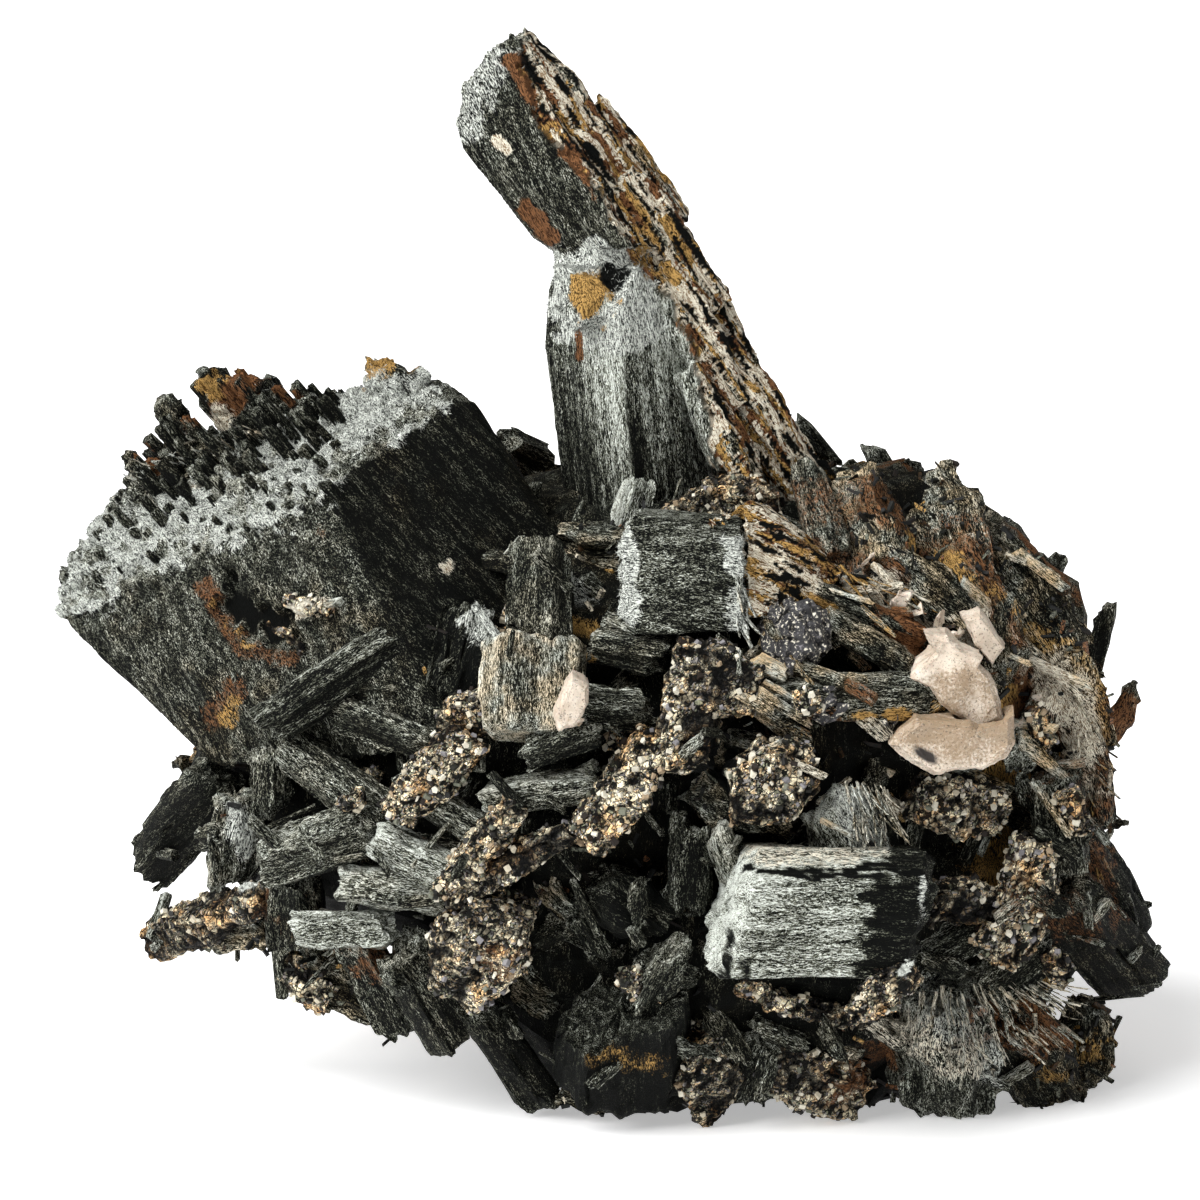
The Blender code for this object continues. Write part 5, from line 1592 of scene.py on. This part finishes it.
SCATTER_SHAPES = {
    "fibre": (
        "GeometryNodeMeshCone", {"Vertices": 3, "Radius Top": 0.0, "Radius Bottom": 1.0, "Depth": 2.0},
    ),
    "splinter": ("GeometryNodeMeshCylinder", {"Vertices": 4, "Radius": 1.0, "Depth": 2.0}),
    "grain": ("GeometryNodeMeshCylinder", {"Vertices": 5, "Radius": 1.0, "Depth": 1.7}),
}


def scatter_tree(scatter, finish):
    """A tree that sets small closed shapes on a surface, thickest where a mark says so."""
    tree = bpy.data.node_groups.new(scatter.name, "GeometryNodeTree")
    tree.is_modifier = True
    takes = [
        ("Surface", "Geometry"), ("Per square metre", "Float"),
        ("Smallest", "Vector"), ("Largest", "Vector"),
        ("Lean", "Float"), ("Seed", "Int"),
    ]
    for label, kind in takes:
        tree.interface.new_socket(name=label, in_out="INPUT", socket_type="NodeSocket" + kind)
    tree.interface.new_socket(name="Pieces", in_out="OUTPUT", socket_type="NodeSocketGeometry")
    steps = Steps(tree)
    taken = steps.add("NodeGroupInput").outputs
    cover = steps.add("GeometryNodeInputNamedAttribute", {"Name": "cover"}, data_type="FLOAT")
    density = steps.times(cover.outputs["Attribute"], taken["Per square metre"])
    points = steps.add("GeometryNodeDistributePointsOnFaces", {
        "Mesh": taken["Surface"], "Density": density, "Seed": taken["Seed"],
    })

    def random(low, high, kind, seed):
        made = steps.add("FunctionNodeRandomValue", data_type=kind)
        first = 0 if kind == "FLOAT_VECTOR" else 2
        steps.feed(made.inputs[first], low)
        steps.feed(made.inputs[first + 1], high)
        steps.feed(made.inputs["Seed"], seed)
        return made.outputs["Value" if kind == "FLOAT_VECTOR" else 1]

    tint = random(0.0, 1.0, "FLOAT", 3)
    tinted = steps.add("GeometryNodeStoreNamedAttribute", {
        "Geometry": points.outputs["Points"], "Name": "tint", "Value": tint,
    }, data_type="FLOAT", domain="POINT")
    most = steps.stretched(random((-1, -1, -1), (1, 1, 1), "FLOAT_VECTOR", 5), (1, 1, 4))
    lean = steps.add("ShaderNodeVectorMath", {0: most}, operation="SCALE")
    steps.feed(lean.inputs["Scale"], taken["Lean"])
    turn = steps.add("FunctionNodeEulerToRotation", {0: lean.outputs[0]}).outputs[0]
    turned = steps.add("FunctionNodeRotateRotation", {
        "Rotation": points.outputs["Rotation"], "Rotate By": turn,
    }, rotation_space="LOCAL").outputs[0]
    body = steps.add(*SCATTER_SHAPES[scatter.shape]).outputs["Mesh"]
    size = random(taken["Smallest"], taken["Largest"], "FLOAT_VECTOR", 9)
    set_out = steps.add("GeometryNodeInstanceOnPoints", {
        "Points": tinted.outputs["Geometry"], "Instance": body, "Rotation": turned, "Scale": size,
    })
    real = steps.add("GeometryNodeRealizeInstances", {0: set_out.outputs[0]}).outputs[0]
    flat = steps.add("GeometryNodeSetShadeSmooth", {"Geometry": real, "Shade Smooth": False}).outputs[0]
    made = steps.add("GeometryNodeSetMaterial", {"Geometry": flat, "Material": finish}).outputs[0]
    steps.feed(steps.add("NodeGroupOutput").inputs["Pieces"], made)
    return tree


def scattered(scatter, surface, finish):
    """The small pieces on a surface, as one plain mesh. The surface itself is taken away."""
    tree = scatter_tree(scatter, finish)
    step = surface.modifiers.new("scatter", "NODES")
    step.node_group = tree
    values = {
        "Per square metre": scatter.per_square_mm / MM**2,
        "Smallest": [side * MM for side in scatter.smallest],
        "Largest": [side * MM for side in scatter.largest],
        "Lean": scatter.lean, "Seed": scatter.seed,
    }
    for item in tree.interface.items_tree:
        if item.in_out == "INPUT" and item.name in values:
            step[item.identifier] = values[item.name]
    bpy.context.view_layer.update()
    graph = bpy.context.evaluated_depsgraph_get()
    mesh = bpy.data.meshes.new_from_object(surface.evaluated_get(graph))
    surface.modifiers.remove(step)
    bpy.data.objects.remove(surface, do_unlink=True)
    above_rest(mesh)
    return linked(scatter.name, mesh)


def above_rest(mesh):
    """Keeps every point on or over the surface that the cluster rests on."""
    places = vectors(mesh.vertices, "co")
    places[:, 2] = np.maximum(places[:, 2], REST_HEIGHT)
    mesh.vertices.foreach_set("co", places.ravel())
    mesh.update()


# ---------------------------------------------------------------- pieces


class Workshop:
    """What the operators share: the finishes, and the forms that small pieces are scattered on."""

    finishes = None
    crusted = []
    fuzzy = []
    rocky = []

    @classmethod
    def finish(cls, context):
        if cls.finishes is None:
            cls.finishes = Finishes(context.scene.amphibole_colours)
        return cls.finishes


# Name, direction, strength and softness in degrees of each light.
LAMPS = [
    ("key", (0.63, 0.42, -0.7), 5.0, 50),
    ("soft_top", (-0.1, 0.3, -0.95), 0.7, 60),
]
FLOOR_REACH = 30.0  # metres from the middle of the floor to its sides
FLOOR_COLOUR = (0.95, 0.95, 0.95, 1)
FLOOR_GLOW = 0.42  # keeps the shadow on the floor soft and pale
WHITE = (1, 1, 1, 1)
ROOM_LIGHT = 0.12
CAMERA_PLACE, CAMERA_AIM = Vector((-0.0022, -0.5898, 0.16155)), Vector((-0.0022, 0.0011, 0.05736))
LENS_LENGTH, SENSOR_WIDTH = 151.2, 36.0


def pointed(made, way):
    """Turns a lamp or a camera to look along a direction."""
    made.rotation_euler = Vector(way).to_track_quat("-Z", "Y").to_euler()


class StageOperator(bpy.types.Operator):
    """Makes the floor, the soft light and the camera"""

    bl_idname = "amphibole.stage"
    bl_label = "Stage"

    def execute(self, context):
        scene = context.scene
        floor_mesh = bpy.data.meshes.new("floor")
        sides = ((-1, -1), (1, -1), (1, 1), (-1, 1))
        corners = [(x * FLOOR_REACH, y * FLOOR_REACH, 0) for x, y in sides]
        floor_mesh.from_pydata(corners, [], [(0, 1, 2, 3)])
        floor = linked("floor", floor_mesh)
        paint, _, shader = new_finish("floor", 0.9, 0.1)
        shader.inputs["Base Color"].default_value = FLOOR_COLOUR
        shader.inputs["Emission Color"].default_value = WHITE
        shader.inputs["Emission Strength"].default_value = FLOOR_GLOW
        floor_mesh.materials.append(paint)
        scene.world = bpy.data.worlds.new("soft light")
        scene.world.use_nodes = True
        room = scene.world.node_tree.nodes["Background"].inputs
        room["Color"].default_value = WHITE
        room["Strength"].default_value = ROOM_LIGHT
        for name, way, power, softness in LAMPS:
            light = bpy.data.lights.new(name, "SUN")
            light.energy = power
            light.angle = math.radians(softness)
            pointed(linked(name, light), way)
        scene.view_settings.view_transform = "Standard"
        lens = bpy.data.cameras.new("camera")
        lens.lens, lens.sensor_width = LENS_LENGTH, SENSOR_WIDTH
        lens.clip_start, lens.clip_end = 0.01, 100.0
        scene.camera = linked("camera", lens)
        scene.camera.location = CAMERA_PLACE
        pointed(scene.camera, CAMERA_AIM - CAMERA_PLACE)
        return {"FINISHED"}


class BlockOperator(bpy.types.Operator):
    """Makes the large block crystal, with its fuzzy broken end and fibre bundles"""

    bl_idname = "amphibole.block_crystal"
    bl_label = "Block crystal"

    def execute(self, context):
        finish = Workshop.finish(context).amphibole
        form = block_form(context.scene.amphibole_sizes.block_fineness)
        settle(object_from("block_crystal_stone", form, finish), "amphibole_dark", "block_crystal")
        rods = object_from("block_fibre_bundles", joined(block_rods()), finish, SHARPER_FOLD)
        settle(rods, "amphibole_dark", "block_crystal")
        Workshop.fuzzy.append(form)
        return {"FINISHED"}


class TallOperator(bpy.types.Operator):
    """Makes the tall crystal: two stacked prisms and the rough flank"""

    bl_idname = "amphibole.tall_crystal"
    bl_label = "Tall crystal"

    def execute(self, context):
        finish = Workshop.finish(context).amphibole
        form = tall_form(context.scene.amphibole_sizes.tall_fineness)
        settle(object_from("tall_crystal_stone", form, finish), "amphibole_dark", "tall_crystal")
        Workshop.fuzzy.append(form)
        return {"FINISHED"}


SLAB_RELIEF = Relief(0.16, 0.22, 0.5, 0.7)
SQUARED_AXIS = (0.97, 0.1, -0.2)
RUSTY_AXIS = (0.85, 0.1, -0.45)
RUSTY_RELIEF = Relief(0.45, 0.55, 0.8, 0.9, 0.2)


class SlabOperator(bpy.types.Operator):
    """Makes the squared crystal and the rusty slab beside it"""

    bl_idname = "amphibole.slabs"
    bl_label = "Squared and rusty slabs"

    def execute(self, context):
        finish = Workshop.finish(context).amphibole
        cell = context.scene.amphibole_sizes.slab_fineness
        squared = slab_form("squared_crystal", cell, SQUARED_AXIS, SLAB_RELIEF, 61, 0.45, 0.02)
        rusty = slab_form("rusty_slab", cell, RUSTY_AXIS, RUSTY_RELIEF, 62, 0.6, 0.6)
        mottle(rusty.marks, rusty.points, axes_along(RUSTY_AXIS), 1.0, RUSTY_MOTTLES)
        settle(object_from("squared_crystal_stone", squared, finish), "amphibole_dark", "squared_crystal")
        settle(object_from("rusty_slab_stone", rusty, finish), "crust", "rusty_slab")
        Workshop.fuzzy += [squared, rusty]
        return {"FINISHED"}


class OwnCrystalOperator(bpy.types.Operator):
    """Makes the pale crystal, the leaning blade and the two crusted crystals"""

    bl_idname = "amphibole.own_crystals"
    bl_label = "Standing-out crystals"

    def execute(self, context):
        finishes = Workshop.finish(context)
        pale = pale_crystal_form()
        settle(object_from("pale_crystal_stone", pale, finishes.amphibole), "amphibole_pale", "pale_crystal")
        for step, (name, row) in enumerate(OWN_CRYSTALS.items(), 1):
            crusted = row.kind == "crust"
            form = crystal_form(row, OWN_SEED + step)
            finish = finishes.crust if crusted else finishes.amphibole
            slot = "crust" if crusted else "amphibole_dark"
            settle(object_from(name + "_stone", form, finish), slot, name)
            if crusted:
                Workshop.crusted.append(form)
        return {"FINISHED"}


FELDSPAR_ROUNDS = 3


def upper_border(points):
    """How far each point is below the slanting border of the upper plate's stain."""
    return 55.4 + 0.37 * (points[:, 0] - 35.6) - points[:, 2]


class FeldsparOperator(bpy.types.Operator):
    """Makes the feldspar plates and chips"""

    bl_idname = "amphibole.feldspar"
    bl_label = "Feldspar"

    def execute(self, context):
        finish = Workshop.finish(context).feldspar
        stains_of = {
            "feldspar_upper_plate": lambda points, up: 0.15 + 0.5 * ramp(upper_border(points), -0.3, 0.3),
            "feldspar_lower_plate": lambda points, up: 0.12 + 1.5 * up,
            "feldspar_block": lambda points, up: 0.25,
            "feldspar_chip": lambda points, up: 0.75 * (1 - up),
        }
        for step, (node, stain) in enumerate(stains_of.items()):
            form = feldspar_form(node, FELDSPAR_SEED + 3 * step, stain)
            settle(object_from(node + "_stone", form, finish, SHARPER_FOLD), "feldspar", node)
        settle(object_from("feldspar_small_chips", joined(chip_forms()), finish, SHARPER_FOLD), "feldspar")
        return {"FINISHED"}


FILL_COARSENESS = 1.45


def cluster_forms(count):
    """The forms of the crystals grown together, by the group they are shown in."""
    group_of = {"rod": "rough", "plate": "pale"}
    groups = {"prism": [], "pale": [], "rough": [], "crust": [], "lump": [], "fill": []}
    rows = [Crystal(*row) for row in CLUSTER_ROWS] + spread_crystals()
    for seed, row in enumerate(rows):
        form = crystal_form(row, seed)
        groups[group_of.get(row.kind, row.kind)].append(form)
    for step, row in enumerate(fill_crystals(count)):
        form = crystal_form(row, FILL_SEED + step, coarse=FILL_COARSENESS)
        groups["crust" if row.kind == "crust" else "fill"].append(form)
    for kind, form in debris_forms():
        groups[group_of.get(kind, kind)].append(form)
    return groups


class ClusterOperator(bpy.types.Operator):
    """Makes the crystals that are grown together"""

    bl_idname = "amphibole.cluster"
    bl_label = "Crystals grown together"

    def execute(self, context):
        finishes = Workshop.finish(context)
        groups = cluster_forms(context.scene.amphibole_sizes.fill_count)
        looks = {
            "prism": ("dark_prisms", finishes.amphibole, "amphibole_dark"),
            "pale": ("pale_prisms", finishes.amphibole, "amphibole_pale"),
            "rough": ("rough_crystals", finishes.amphibole, "amphibole_dark"),
            "crust": ("crusted_crystals", finishes.crust, "crust"),
            "lump": ("smooth_lumps", finishes.lump, "amphibole_dark"),
            "fill": ("small_crystals", finishes.amphibole, "amphibole_dark"),
        }
        for kind, (name, finish, slot) in looks.items():
            settle(object_from(name, joined(groups[kind]), finish), slot, "crystal_mass")
        Workshop.crusted += groups["crust"]
        Workshop.fuzzy += groups["rough"]
        Workshop.rocky += groups["rough"]
        return {"FINISHED"}


class ShardOperator(bpy.types.Operator):
    """Makes the thin crystals that lie over the others"""

    bl_idname = "amphibole.shards"
    bl_label = "Thin crystals"

    def execute(self, context):
        finish = Workshop.finish(context).amphibole
        forms = shard_forms(context.scene.amphibole_sizes.shard_count) + list(strand_forms())
        settle(object_from("thin_crystals", joined(forms), finish), "amphibole_dark")
        return {"FINISHED"}


class RockOperator(bpy.types.Operator):
    """Makes the rock that the crystals grew from"""

    bl_idname = "amphibole.rock"
    bl_label = "Rock"

    def execute(self, context):
        finish = Workshop.finish(context).amphibole
        forms = [groundmass_form(*rock, ROCK_SEED + step) for step, rock in enumerate(GROUNDMASS)]
        rock = joined(forms)
        settle(object_from("groundmass", rock, finish), "amphibole_dark", "crystal_mass")
        Workshop.rocky.append(rock)
        return {"FINISHED"}


class SmallPiecesOperator(bpy.types.Operator):
    """Scatters crust grains, pale fuzz and splinters over the crystals"""

    bl_idname = "amphibole.small_pieces"
    bl_label = "Grains, fuzz and splinters"

    def execute(self, context):
        finishes = Workshop.finish(context)
        sizes = context.scene.amphibole_sizes
        grain, fibre, splinter = (
            getattr(sizes, name) / MM for name in ("grain_size", "fibre_length", "splinter_length")
        )
        crusted = joined(Workshop.crusted)
        crusted.marks["cover"] = ramp(crusted.marks["depth"], -0.2, 0.4) * (1 - crusted.marks["dark"])
        fuzzy = joined(Workshop.fuzzy)
        stained = np.maximum(fuzzy.marks["rust"], np.maximum(fuzzy.marks["ochre"], fuzzy.marks["cream"]))
        fuzzy.marks["cover"] = fuzzy.marks["bloom"] * (1 - stained)
        rocky = joined(Workshop.rocky)
        rocky.marks["cover"] = np.clip(rocky.marks["brown"] * 1.4 - 0.3, 0.1, 1)
        grains = Scatter("crust_grains", "grain", 0.5, (grain * 0.4,) * 3, (grain * 0.95,) * 3, 3.0, 4)
        fibres = Scatter(
            "pale_fuzz", "fibre", 6.4, (0.03, 0.03, fibre * 0.14), (0.06, 0.06, fibre * 0.42), 1.0, 5,
        )
        splinters = Scatter(
            "splinters", "splinter", 0.185, (0.12, 0.12, splinter * 0.12), (0.42, 0.34, splinter * 0.55),
            1.4, 6,
        )
        scatters = (
            (grains, crusted, finishes.grain, "crust"),
            (fibres, fuzzy, finishes.fuzz, "amphibole_pale"),
            (splinters, rocky, finishes.splinter, "amphibole_dark"),
        )
        for scatter, surface, finish, slot in scatters:
            ground = object_from(scatter.name + "_ground", surface, finish)
            settle(scattered(scatter, ground, finish), slot)
        return {"FINISHED"}


OPERATORS = (
    StageOperator, BlockOperator, TallOperator, SlabOperator, OwnCrystalOperator,
    FeldsparOperator, ClusterOperator, ShardOperator, RockOperator, SmallPiecesOperator,
)


class ClusterPanel(bpy.types.Panel):
    """Lists the pieces of the cluster, with their sizes and colours"""

    bl_idname = "VIEW3D_PT_amphibole"
    bl_label = "Amphibole cluster"
    bl_space_type = "VIEW_3D"
    bl_region_type = "UI"
    bl_category = "Amphibole"

    def draw(self, context):
        for operator in OPERATORS:
            self.layout.operator(operator.bl_idname)
        for group in (context.scene.amphibole_sizes, context.scene.amphibole_colours):
            for name in group.__annotations__:
                self.layout.prop(group, name)


CLASSES = (ClusterSizes, ClusterColours, *OPERATORS, ClusterPanel)


def register():
    for made in CLASSES:
        bpy.utils.register_class(made)
    bpy.types.Scene.amphibole_sizes = bpy.props.PointerProperty(type=ClusterSizes)
    bpy.types.Scene.amphibole_colours = bpy.props.PointerProperty(type=ClusterColours)


def unregister():
    del bpy.types.Scene.amphibole_colours
    del bpy.types.Scene.amphibole_sizes
    for made in reversed(CLASSES):
        bpy.utils.unregister_class(made)


def main():
    register()
    noise.seed_set(NOISE_SEED)
    for operator in OPERATORS:
        group, name = operator.bl_idname.split(".")
        getattr(getattr(bpy.ops, group), name)()


if __name__ == "__main__":
    main()
